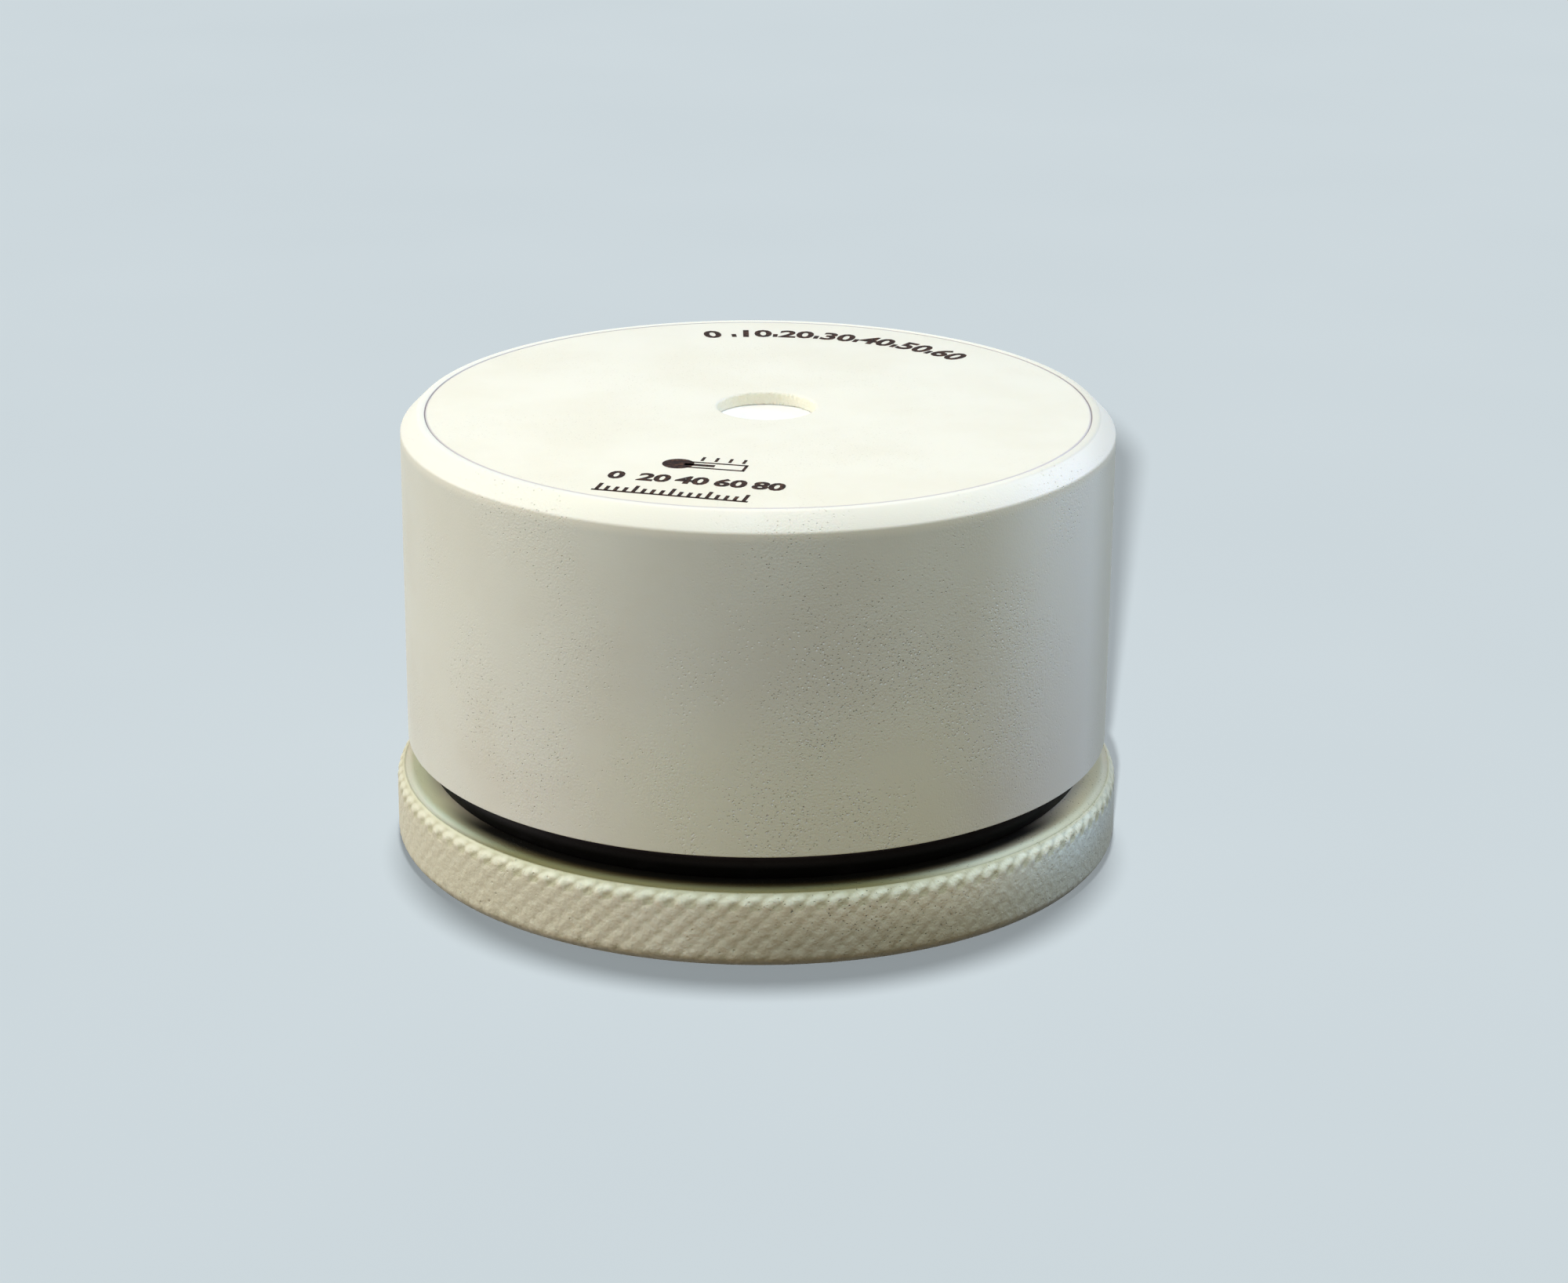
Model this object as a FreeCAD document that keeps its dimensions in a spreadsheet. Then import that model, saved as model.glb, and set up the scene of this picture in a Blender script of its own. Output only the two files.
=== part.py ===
"""A puck-shaped temperature data logger with a knurled screw base.

Millimetres, +Z up. The origin is the centre of the base's underside, where the logger
stands. The base carries a round seal, a spring and a keyed pressure plate. The housing
screws down over the base's neck and holds the sensor, the circuit board and the cell.
"""
import FreeCAD, Part
import math
import os
import re

import Sketcher

# Driving sizes, each written once, from the cell outwards and from the base upwards
SIZES = {
    # cell and the carrier round it
    "cell_radius": 16.45,
    "cell_height": 10.2,
    "cell_cap_width": 23.0,
    "cell_cap_height": 0.5,
    "carrier_wall": 1.6,
    "carrier_plate": 1.6,
    "carrier_window": 7.0,
    "skirt_lift": 1.0,
    "contact_width": 3.0,
    "contact_thickness": 0.3,
    "contact_foot": 3.5,
    # knurled base
    "neck_wall": 4.0,
    "neck_lead": 0.6,
    "base_floor": 2.5,
    "key_width": 3.2,
    "key_depth": 1.5,
    "ring_height": 6.0,
    "ring_lip": 1.0,
    "ring_chamfer": 0.55,
    "knurl_pitch": 1.68,
    "knurl_depth": 0.36,
    # round seal, squeezed between the base and the housing
    "seal_section": 3.1,
    "seal_height": 2.75,
    "seal_inset": 1.5,
    # pressure plate and its spring
    "plate_thickness": 1.5,
    "spring_room": 4.5,
    "spring_radius": 8.6,
    "spring_wire": 0.9,
    "spring_turns": 2.25,
    "spring_boss": 1.2,
    # housing and its inlaid top disc
    "shell_wall": 4.7,
    "edge_break": 0.2,
    "rim_chamfer": 1.35,
    "rim_land": 0.65,
    "top_wall": 2.0,
    "disc_thickness": 1.1,
    "port_radius": 4.0,
    "port_floor": 0.8,
    "headroom_height": 6.65,
    # board and what fastens it
    "board_thickness": 1.6,
    "spacer_length": 4.2,
    "spacer_wall": 1.2,
    "boss_wall": 1.85,
    "screw_radius": 1.2,
    "screw_length": 12.0,
    "head_radius": 2.25,
    "head_height": 1.8,
    "slot_width": 0.6,
    "slot_depth": 0.8,
    # sensor under the port
    "sensor_cup_radius": 3.0,
    "sensor_cup_wall": 0.4,
    "pad_thickness": 0.5,
    "bead_width": 2.0,
    "bead_height": 2.6,
    "lead_width": 0.4,
    "lead_pitch": 1.0,
    # parts soldered to the board
    "chip_spread": 8.0,
    "row_step": 3.0,
    "coil_length": 24.0,
    "coil_width": 18.0,
    "coil_wall": 2.5,
    "coil_height": 0.8,
    "processor_width": 9.0,
    "processor_height": 1.4,
    "memory_length": 5.0,
    "memory_width": 4.0,
    "memory_height": 1.5,
    "pin_width": 0.4,
    "pin_length": 1.0,
    "crystal_length": 5.0,
    "crystal_width": 3.2,
    "crystal_height": 1.0,
    "reed_radius": 1.1,
    "reed_length": 9.0,
    "reed_wire": 2.2,
    "storage_length": 7.3,
    "storage_width": 4.3,
    "storage_height": 2.9,
    "ceramic_length": 2.0,
    "ceramic_width": 1.25,
    "resistor_length": 1.6,
    "resistor_width": 0.8,
    "resistor_height": 0.5,
    # clearances
    "thread_clearance": 0.3,
    "thread_relief": 0.6,
    "mouth_clearance": 1.25,
    "guide_clearance": 0.1,
    "disc_clearance": 0.06,
    "seat_clearance": 0.1,
    "screw_clearance": 0.2,
    "pilot_clearance": 0.05,
    "cell_clearance": 0.2,
    "cup_clearance": 1.75,
    "head_clearance": 0.7,
    "neck_clearance": 1.7,
    "carrier_clearance": 0.7,
    "board_clearance": 1.1,
    "pocket_clearance": 1.0,
}

# Sizes and levels that follow from the driving ones
DERIVED = {
    # radii, from the cell outwards
    "skirt_inner": "cell_radius + cell_clearance",
    "skirt_outer": "skirt_inner + carrier_wall",
    "cup_radius": "skirt_outer + cup_clearance",
    "neck_radius": "cup_radius + neck_wall",
    "bore_radius": "neck_radius + thread_clearance",
    "cavity_radius": "bore_radius + thread_relief",
    "shell_radius": "bore_radius + shell_wall",
    "ring_radius": "shell_radius + ring_lip",
    "disc_radius": "shell_radius - rim_chamfer - rim_land",
    "seal_radius": "shell_radius - seal_inset",
    "seal_centre": "seal_radius - seal_section / 2",
    "seat_radius": "seal_radius - seal_section - seat_clearance",
    "carrier_radius": "bore_radius - carrier_clearance",
    "board_radius": "bore_radius - board_clearance",
    "screw_circle": "skirt_outer + head_radius + head_clearance",
    "hole_radius": "screw_radius + screw_clearance",
    "pilot_radius": "screw_radius + pilot_clearance",
    "boss_radius": "pilot_radius + boss_wall",
    "plate_radius": "cup_radius - guide_clearance",
    "boss_ring": "spring_radius - spring_wire / 2 - screw_clearance",
    # levels, from the underside upwards
    "shell_foot": "ring_height + seal_height",
    "plate_foot": "base_floor + spring_room",
    "cell_foot": "plate_foot + plate_thickness",
    "skirt_foot": "cell_foot + skirt_lift",
    "cell_top": "cell_foot + cell_height",
    "carrier_foot": "cell_top + contact_thickness",
    "carrier_top": "carrier_foot + carrier_plate",
    "neck_top": "carrier_foot - head_height - neck_clearance",
    "mouth_top": "neck_top + mouth_clearance",
    "board_foot": "carrier_top + spacer_length",
    "board_top": "board_foot + board_thickness",
    "ceiling": "board_top + headroom_height",
    "disc_foot": "ceiling + top_wall",
    "shell_top": "disc_foot + disc_thickness",
    "pocket_top": "disc_foot - port_floor",
    "sensor_cup_top": "pocket_top - pad_thickness",
    "bead_foot": "sensor_cup_top - sensor_cup_wall - bead_height",
    # the largest square that stays on the sensor cup's round top
    "pad_width": "(sensor_cup_radius - seat_clearance) * sqrt(2)",
    # how far the side strip's slot and foot lie above the skirt's foot
    "slot_foot": "skirt_foot + skirt_lift",
    "strip_foot": "slot_foot + skirt_lift",
    # where the reed switch lies beside the coil
    "reed_y": "coil_width / 2 + reed_radius + lead_width",
}

# Three board screws, one at the back
SCREW_ANGLES = (90, 210, 330)

# A cutting tool that passes right through is this many times the thickness
THROUGH = 3

doc = FreeCAD.newDocument("temperature_logger")
sheet = doc.addObject("Spreadsheet::Sheet", "sizes")
for row, (alias, size) in enumerate(SIZES.items(), start=1):
    sheet.set(f"A{row}", alias.replace("_", " "))
    sheet.set(f"B{row}", str(size))
    sheet.setAlias(f"B{row}", alias)
doc.recompute()

nodes = []


def formula(text):
    """Turns words of the size tables into an expression on the sheet's cells."""
    def cell(match):
        word = match.group(0)
        if word in DERIVED:
            return "(" + formula(DERIVED[word]) + ")"
        return "sizes." + word if word in SIZES else word
    return re.sub(r"[a-z][a-z_]*", cell, str(text))


def number(text):
    """The present value of a formula, in millimetres."""
    return float(sheet.evalExpression(formula(text)))


def bind(item, **formulas):
    """Ties properties of an object to the sheet."""
    for name, text in formulas.items():
        item.setExpression(name, formula(text))


def place(item, x="0", y="0", z="0"):
    """Ties an object's position to the sheet and returns the object."""
    for axis, text in (("x", x), ("y", y), ("z", z)):
        item.setExpression(f"Placement.Base.{axis}", formula(text))
    return item


def turn(item, axis, angle):
    """Sets an object's fixed rotation and returns the object."""
    item.Placement.Rotation = FreeCAD.Rotation(axis, angle)
    return item


def node(item, label):
    """Names an object as a piece of the logger that gets a file of its own."""
    item.Label = label
    nodes.append(item)
    return item


def cylinder(name, radius, height, x="0", y="0", z="0"):
    """A cylinder standing on z."""
    item = doc.addObject("Part::Cylinder", name)
    bind(item, Radius=radius, Height=height)
    return place(item, x, y, z)


def box(name, length, width, height, x="0", y="0", z="0"):
    """A box centred on x and y and standing on z."""
    item = doc.addObject("Part::Box", name)
    bind(item, Length=length, Width=width, Height=height)
    return place(item, f"{x} - ({length}) / 2", f"{y} - ({width}) / 2", z)


def cut(name, base, *tools):
    """The base with every tool cut away."""
    item = doc.addObject("Part::Cut", name)
    item.Base = base
    item.Tool = tools[0] if len(tools) == 1 else group(name + "_tools", tools)
    return item


def fuse(name, *pieces):
    """One solid made of touching pieces."""
    item = doc.addObject("Part::MultiFuse", name)
    item.Shapes = list(pieces)
    return item


def group(name, pieces):
    """Separate solids kept as one node."""
    item = doc.addObject("Part::Compound", name)
    item.Links = list(pieces)
    return item


def polar(radius, angle):
    """X and Y formulas of a point on a circle."""
    return f"({radius}) * cos({angle} deg)", f"({radius}) * sin({angle} deg)"


def origin_plane(body, role):
    """One of the body's own origin planes."""
    return next(plane for plane in body.Origin.OriginFeatures if plane.Role == role)


def turned(name, outline):
    """A body turned about Z from a closed outline of (radius, height) formulas."""
    body = doc.addObject("PartDesign::Body", name)
    sketch = body.newObject("Sketcher::SketchObject", name + "_outline")
    sketch.AttachmentSupport = [(origin_plane(body, "XZ_Plane"), "")]
    sketch.MapMode = "FlatFace"
    corners = [FreeCAD.Vector(number(radius), number(height), 0) for radius, height in outline]
    for start, end in zip(corners, corners[1:] + corners[:1]):
        sketch.addGeometry(Part.LineSegment(start, end))
    for line, (radius, height) in enumerate(outline):
        following = (line + 1) % len(outline)
        sketch.addConstraint(Sketcher.Constraint("Coincident", line, 2, following, 1))
        for kind, axis, text in (("DistanceX", -2, radius), ("DistanceY", -1, height)):
            if text == "0":
                sketch.addConstraint(Sketcher.Constraint("PointOnObject", line, 1, axis))
                continue
            index = sketch.addConstraint(Sketcher.Constraint(kind, -1, 1, line, 1, number(text)))
            sketch.setExpression(f"Constraints[{index}]", formula(text))
    revolution = body.newObject("PartDesign::Revolution", name + "_turning")
    revolution.Profile = sketch
    revolution.ReferenceAxis = (sketch, ["V_Axis"])
    revolution.Angle = 360
    return body


def skin(rings, other_diagonal):
    """A solid of triangles between rings of points, closed by the first and last ring.

    The end rings may have half as many points as their neighbours.
    other_diagonal(row, column) says which way each four-sided field is split.
    """
    faces = [Part.Face(Part.makePolygon(ring + ring[:1])) for ring in (rings[0], rings[-1])]
    for row, (low, high) in enumerate(zip(rings, rings[1:])):
        fields = []
        if len(low) == len(high):
            for column in range(len(low)):
                following = (column + 1) % len(low)
                corners = [low[column], low[following], high[following], high[column]]
                first = 1 if other_diagonal(row, column) else 0
                fields += [corners[first:first + 3], corners[first + 2:] + corners[:first + 1]]
        else:
            coarse, fine = (low, high) if len(low) < len(high) else (high, low)
            for column in range(len(coarse)):
                here, beyond = coarse[column], coarse[(column + 1) % len(coarse)]
                left, middle = fine[2 * column], fine[2 * column + 1]
                right = fine[(2 * column + 2) % len(fine)]
                fields += [[here, left, middle], [here, middle, beyond], [beyond, middle, right]]
        faces += [Part.Face(Part.makePolygon(field + field[:1])) for field in fields]
    shell = Part.makeShell(faces)
    shell.sewShape()
    solid = Part.makeSolid(Part.Shell(shell.Faces))
    if solid.Volume < 0:
        solid.reverse()
    return solid


def level_ring(radii, height):
    """Points at even angles round Z, one for each radius."""
    step = 2 * math.pi / len(radii)
    return [
        FreeCAD.Vector(radius * math.cos(step * spot), radius * math.sin(step * spot), height)
        for spot, radius in enumerate(radii)
    ]


def knurled_disc():
    """A disc whose rim is a diamond knurl of four-sided pyramids between two bevels.

    Crossed helical grooves meet in pits half a pitch apart. Crests and pits take turns
    along each row and from row to row, so each crest is the tip of a pyramid, and the
    fields are split along the groove, from pit to pit. Each bevel has one corner for
    every crest beside it.
    """
    radius = number("ring_radius")
    height = number("ring_height")
    bevel = number("ring_chamfer")
    pitch = number("knurl_pitch")
    root = radius - number("knurl_depth")
    columns = 2 * round(2 * math.pi * radius / pitch)
    rows = round((height - 2 * bevel) / (pitch / 2))
    rings = [level_ring([radius - bevel] * (columns // 2), 0)]
    for row in range(rows + 1):
        radii = [root if (row + column) % 2 else radius for column in range(columns)]
        rings.append(level_ring(radii, bevel + (height - 2 * bevel) * row / rows))
    rings.append(level_ring([radius - bevel] * (columns // 2), height))
    return skin(rings, lambda row, column: (row + column) % 2)


def coiled_wire(sides=8, steps_per_turn=18):
    """A wire of flat-sided section wound up a helix about Z, one unbroken tube."""
    radius = number("spring_radius")
    wire = number("spring_wire")
    turns = number("spring_turns")
    rise = number("spring_room") - wire
    foot = number("base_floor") + wire / 2
    steps = round(turns * steps_per_turn)
    slope = math.atan2(rise, 2 * math.pi * radius * turns)
    rings = []
    for step in range(steps + 1):
        angle = 2 * math.pi * turns * step / steps
        outward = FreeCAD.Vector(math.cos(angle), math.sin(angle), 0)
        along = FreeCAD.Vector(-math.sin(angle), math.cos(angle), 0)
        upward = FreeCAD.Vector(0, 0, math.cos(slope)) - along * math.sin(slope)
        centre = outward * radius + FreeCAD.Vector(0, 0, foot + rise * step / steps)
        section = [2 * math.pi * side / sides for side in range(sides)]
        rings.append([
            centre + outward * (wire / 2 * math.cos(turn_by)) + upward * (wire / 2 * math.sin(turn_by))
            for turn_by in section
        ])
    print("spring's least gap between turns", round(rise / turns - wire, 2))
    return skin(rings, lambda row, column: False)


def screw_base():
    """The knurled flange, the threaded neck and the cup that guides the pressure plate."""
    flange = doc.addObject("Part::Feature", "knurled_flange")
    flange.Shape = knurled_disc()
    neck = turned("base_neck", [
        ("cup_radius - key_depth", "ring_height - edge_break"),
        ("seat_radius", "ring_height - edge_break"),
        ("seat_radius", "shell_foot - thread_clearance"),
        ("neck_radius", "shell_foot"),
        ("neck_radius", "neck_top - neck_lead"),
        ("neck_radius - neck_lead", "neck_top"),
        ("cup_radius - key_depth", "neck_top"),
    ])
    cup = turned("base_cup", [
        ("0", "base_floor + spring_boss"),
        ("boss_ring", "base_floor + spring_boss"),
        ("boss_ring", "base_floor"),
        ("cup_radius", "base_floor"),
        ("cup_radius", "neck_top + neck_lead"),
        ("0", "neck_top + neck_lead"),
    ])
    keyway = box("base_keyway", "cup_radius", "key_width", "neck_top",
                 "cup_radius / 2 + key_depth", "0", "base_floor")
    blank = fuse("base_blank", flange, neck)
    return node(cut("base_solid", blank, cup, keyway), "knurled_base")


def round_seal(steps=3):
    """A round seal, squeezed flat above and below, its bulging sides in short straights."""
    outline = []
    for side, shares in ((1, range(steps + 1)), (-1, range(steps, -1, -1))):
        for share in shares:
            lean = f"{2 * share / steps - 1} * asin(seal_height / seal_section)"
            outline.append((f"seal_centre + {side} * seal_section / 2 * cos({lean})",
                            f"ring_height + seal_height / 2 + seal_section / 2 * sin({lean})"))
    return node(turned("seal_ring", outline), "main_o_ring")


def plate_spring():
    """The wire spring under the pressure plate, in its pressed state."""
    spring = doc.addObject("Part::Feature", "spring_coil")
    spring.Shape = coiled_wire()
    return node(spring, "plate_spring")


def pressure_plate():
    """The keyed disc that the spring presses against the cell."""
    disc = turned("plate_disc", [
        ("0", "plate_foot - spring_boss"),
        ("boss_ring", "plate_foot - spring_boss"),
        ("boss_ring", "plate_foot"),
        ("plate_radius", "plate_foot"),
        ("plate_radius", "cell_foot"),
        ("0", "cell_foot"),
    ])
    key = box("plate_key", "2 * key_depth", "key_width - 2 * guide_clearance", "plate_thickness",
              "cup_radius - guide_clearance * 2", "0", "plate_foot")
    return node(fuse("plate_solid", disc, key), "pressure_plate")


def housing_shell():
    """The outer case: plain barrel, bevelled rim, threaded mouth, bosses and sensor pocket."""
    barrel = turned("shell_barrel", [
        ("bore_radius", "shell_foot"),
        ("shell_radius - edge_break", "shell_foot"),
        ("shell_radius", "shell_foot + edge_break"),
        ("shell_radius", "shell_top - rim_chamfer"),
        ("shell_radius - rim_chamfer", "shell_top"),
        ("disc_radius", "shell_top"),
        ("disc_radius", "disc_foot"),
        ("0", "disc_foot"),
        ("0", "ceiling"),
        ("cavity_radius", "ceiling"),
        ("cavity_radius", "mouth_top"),
        ("bore_radius", "mouth_top"),
    ])
    bosses = []
    pilots = []
    for spot, angle in enumerate(SCREW_ANGLES, start=1):
        x, y = polar("screw_circle", angle)
        bosses.append(cylinder(f"shell_boss_{spot}", "boss_radius",
                               "headroom_height + top_wall / 2", x, y, "board_top"))
        pilots.append(cylinder(f"boss_pilot_{spot}", "pilot_radius",
                               "headroom_height", x, y, "board_top"))
    pocket = cylinder("sensor_pocket", "sensor_cup_radius + pocket_clearance",
                      "pocket_top - ceiling + top_wall", z="ceiling - top_wall")
    solid = cut("shell_solid", fuse("shell_blank", barrel, *bosses), pocket, *pilots)
    return node(solid, "housing_shell")


def top_disc():
    """The inlaid disc with the round port over the sensor."""
    return node(turned("disc_plate", [
        ("port_radius", "disc_foot"),
        ("disc_radius - disc_clearance", "disc_foot"),
        ("disc_radius - disc_clearance", "shell_top"),
        ("port_radius", "shell_top"),
    ]), "top_disc")


def cell():
    """A flat round lithium cell, its centre terminal up."""
    return node(turned("cell_can", [
        ("0", "cell_foot"),
        ("cell_radius", "cell_foot"),
        ("cell_radius", "cell_top - cell_cap_height"),
        ("cell_cap_width / 2", "cell_top - cell_cap_height"),
        ("cell_cap_width / 2", "cell_top"),
        ("0", "cell_top"),
    ]), "lithium_cell")


def cell_carrier():
    """The chassis: a skirt round the cell under a plate that the screws hold."""
    chassis = turned("carrier_blank", [
        ("skirt_inner", "skirt_foot"),
        ("skirt_outer", "skirt_foot"),
        ("skirt_outer", "carrier_foot"),
        ("carrier_radius", "carrier_foot"),
        ("carrier_radius", "carrier_top"),
        ("0", "carrier_top"),
        ("0", "carrier_foot"),
        ("skirt_inner", "carrier_foot"),
    ])
    window = box("carrier_opening", "carrier_window", "carrier_window", f"carrier_plate * {THROUGH}",
                 z="carrier_foot - carrier_plate")
    slot = box("carrier_slot", "carrier_wall", "contact_width + 2 * screw_clearance",
               "carrier_top", "-(skirt_inner + carrier_wall / 2 - cell_clearance)", "0",
               "slot_foot")
    holes = [
        cylinder(f"carrier_hole_{spot}", "hole_radius", f"carrier_plate * {THROUGH}",
                 *polar("screw_circle", angle), "carrier_foot - carrier_plate")
        for spot, angle in enumerate(SCREW_ANGLES, start=1)
    ]
    return node(cut("carrier_solid", chassis, window, slot, *holes), "cell_carrier")


def contacts():
    """The two sprung strips that join the cell to the board."""
    side_strip = box("side_strip", "contact_thickness", "contact_width",
                     "board_foot - strip_foot", "-(cell_radius + contact_thickness / 2)", "0",
                     "strip_foot")
    node(side_strip, "positive_contact")
    foot = box("centre_foot", "contact_foot", "contact_width", "contact_thickness",
               "0", "0", "cell_top")
    stem = box("centre_stem", "contact_thickness", "contact_width", "board_foot - cell_top",
               "contact_foot / 2", "0", "cell_top")
    node(fuse("centre_strip", foot, stem), "negative_contact")


def circuit_board():
    """The round board, with a hole for each screw."""
    blank = cylinder("board_blank", "board_radius", "board_thickness", z="board_foot")
    holes = [
        cylinder(f"board_hole_{spot}", "hole_radius", f"board_thickness * {THROUGH}",
                 *polar("screw_circle", angle), "board_foot - board_thickness")
        for spot, angle in enumerate(SCREW_ANGLES, start=1)
    ]
    return node(cut("board_solid", blank, *holes), "circuit_board")


def fasteners():
    """Slotted screws and the six-sided spacers that they pass through, three of each."""
    screws = []
    spacers = []
    for spot, angle in enumerate(SCREW_ANGLES, start=1):
        x, y = polar("screw_circle", angle)
        shank = cylinder(f"shank_{spot}", "screw_radius", "screw_length + head_height / 2",
                         x, y, "carrier_foot - head_height / 2")
        head = cylinder(f"head_{spot}", "head_radius", "head_height",
                        x, y, "carrier_foot - head_height")
        slot = box(f"slot_{spot}", f"head_radius * {THROUGH}", "slot_width", "slot_depth",
                   x, y, "carrier_foot - head_height")
        screws.append(cut(f"screw_{spot}", fuse(f"screw_blank_{spot}", shank, head), slot))
        column = doc.addObject("Part::Prism", f"column_{spot}")
        column.Polygon = 6
        bind(column, Circumradius="(hole_radius + spacer_wall) / cos(30 deg)",
             Height="spacer_length")
        place(column, x, y, "carrier_top")
        bore = cylinder(f"column_bore_{spot}", "hole_radius", f"spacer_length * {THROUGH}",
                        x, y, "carrier_top - spacer_length")
        spacers.append(cut(f"spacer_{spot}", column, bore))
    node(group("screw_group", screws), "board_screws")
    node(group("spacer_group", spacers), "board_spacers")


def sensor():
    """The sensor bead on its two leads, its metal cup and the soft pad under the port."""
    cup = turned("sensor_cup_blank", [
        ("sensor_cup_radius - sensor_cup_wall", "board_top"),
        ("sensor_cup_radius", "board_top"),
        ("sensor_cup_radius", "sensor_cup_top"),
        ("0", "sensor_cup_top"),
        ("0", "sensor_cup_top - sensor_cup_wall"),
        ("sensor_cup_radius - sensor_cup_wall", "sensor_cup_top - sensor_cup_wall"),
    ])
    node(cup, "sensor_cup")
    pad = box("pad_blank", "pad_width", "pad_width", "pad_thickness", z="sensor_cup_top")
    node(pad, "thermal_pad")
    bead = cylinder("bead_blank", "bead_width / 2", "bead_height", z="bead_foot")
    leads = [
        box(f"sensor_lead_{side}", "lead_width", "lead_width", "bead_foot - board_top",
            f"{sign} * lead_pitch / 2", "0", "board_top")
        for side, sign in (("left", -1), ("right", 1))
    ]
    node(fuse("bead_and_leads", bead, *leads), "temperature_sensor")


def chip(label, length, width, height, pins, x, y):
    """A flat chip under the board, with a row of pins along each long side."""
    pieces = [box(label + "_block", length, width, height, x, y, f"board_foot - ({height})")]
    for pin in range(pins):
        share = (pin + 0.5) / pins - 0.5
        pieces.append(box(f"{label}_pin_{pin + 1}", "pin_width",
                          f"{width} + 2 * pin_length", f"({height}) / 2",
                          f"{x} + {share} * ({length})", y, f"board_foot - ({height}) / 2"))
    return node(fuse(label + "_solid", *pieces), label)


def small_parts(label, length, width, height, rows):
    """A group of like blocks soldered under the board in rows: (count, first x, y)."""
    blocks = []
    for row, (count, x, y) in enumerate(rows, start=1):
        for spot in range(count):
            blocks.append(box(f"{label}_{row}_{spot + 1}", length, width, height,
                              f"{x} + {spot} * row_step", y, f"board_foot - ({height})"))
    return node(group(label + "_group", blocks), label)


def soldered_parts():
    """What the board carries on its underside and on its top."""
    processor_pins = 11
    memory_pins = 4
    chip("processor_chip", "processor_width", "processor_width", "processor_height",
         processor_pins, "-chip_spread", "chip_spread")
    chip("memory_chip", "memory_length", "memory_width", "memory_height",
         memory_pins, "chip_spread", "chip_spread")
    node(box("crystal_can", "crystal_length", "crystal_width", "crystal_height",
             "chip_spread + row_step / 2", "0", "board_foot - crystal_height"), "clock_crystal")
    node(box("storage_block", "storage_length", "storage_width", "storage_height",
             "-chip_spread", "-chip_spread", "board_foot - storage_height"), "storage_capacitor")
    small_parts("ceramic_capacitors", "ceramic_length", "ceramic_width", "ceramic_width",
                [(3, "row_step", "-chip_spread"), (2, "-chip_spread - row_step", "0")])
    small_parts("chip_resistors", "resistor_length", "resistor_width", "resistor_height",
                [(3, "row_step", "-chip_spread - row_step"),
                 (3, "row_step", "-chip_spread - 2 * row_step")])
    loop = box("coil_outside", "coil_length", "coil_width", "coil_height", z="board_top")
    inside = box("coil_inside", "coil_length - 2 * coil_wall", "coil_width - 2 * coil_wall",
                 f"coil_height * {THROUGH}", z="board_top - coil_height")
    node(cut("coil_loop", loop, inside), "readout_coil")
    across = FreeCAD.Vector(0, 1, 0)
    tube = turn(cylinder("reed_tube", "reed_radius", "reed_length", "-reed_length / 2",
                         "-reed_y", "board_top + reed_radius"), across, 90)
    wires = box("reed_wires", "reed_length + 2 * reed_wire", "lead_width", "lead_width",
                "0", "-reed_y", "board_top + reed_radius - lead_width / 2")
    node(fuse("reed_solid", tube, wires), "start_reed_switch")


screw_base()
round_seal()
plate_spring()
pressure_plate()
housing_shell()
top_disc()
cell()
cell_carrier()
contacts()
circuit_board()
fasteners()
sensor()
soldered_parts()
doc.recompute()

for item in doc.Objects:
    if {"Invalid", "Error"} & set(item.State):
        raise RuntimeError(f"{item.Label} failed: {item.State}")
for item in nodes:
    if item.Shape.isNull() or not item.Shape.isValid():
        raise RuntimeError(f"{item.Label} has no valid shape")

os.makedirs("parts", exist_ok=True)
for item in nodes:
    item.Shape.exportStep(f"parts/{item.Label}.step")
print(len(nodes), "nodes, height", round(number("shell_top"), 2))
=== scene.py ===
"""Looks of the temperature data logger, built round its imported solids.

Lengths are in metres, and those in the finishes are in millimetres. Every piece is
modelled where it sits on the logger, so its object stays at the origin, unturned and
unscaled.
"""

import logging
import math
import random
from collections.abc import Callable
from dataclasses import dataclass
from enum import Enum
from functools import cached_property
from typing import Any

import bpy
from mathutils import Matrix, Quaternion, Vector

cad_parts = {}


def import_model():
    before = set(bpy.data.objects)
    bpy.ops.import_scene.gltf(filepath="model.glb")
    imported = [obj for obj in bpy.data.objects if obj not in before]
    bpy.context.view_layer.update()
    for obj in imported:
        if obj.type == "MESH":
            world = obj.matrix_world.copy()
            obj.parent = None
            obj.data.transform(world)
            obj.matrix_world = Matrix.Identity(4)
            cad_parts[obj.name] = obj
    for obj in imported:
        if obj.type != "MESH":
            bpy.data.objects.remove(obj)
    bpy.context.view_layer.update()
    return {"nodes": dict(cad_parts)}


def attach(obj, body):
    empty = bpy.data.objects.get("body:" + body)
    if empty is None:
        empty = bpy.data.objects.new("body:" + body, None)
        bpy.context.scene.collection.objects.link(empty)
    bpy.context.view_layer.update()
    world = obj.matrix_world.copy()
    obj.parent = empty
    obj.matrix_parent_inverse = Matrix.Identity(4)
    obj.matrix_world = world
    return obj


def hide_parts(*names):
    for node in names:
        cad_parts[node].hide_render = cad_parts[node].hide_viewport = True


LOG = logging.getLogger("temperature_logger")
MM = 0.001
FULL_TURN = 2 * math.pi
NEAR = 0.01 * MM
UPRIGHT = 0.9

Colour = tuple[float, float, float, float]


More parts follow.
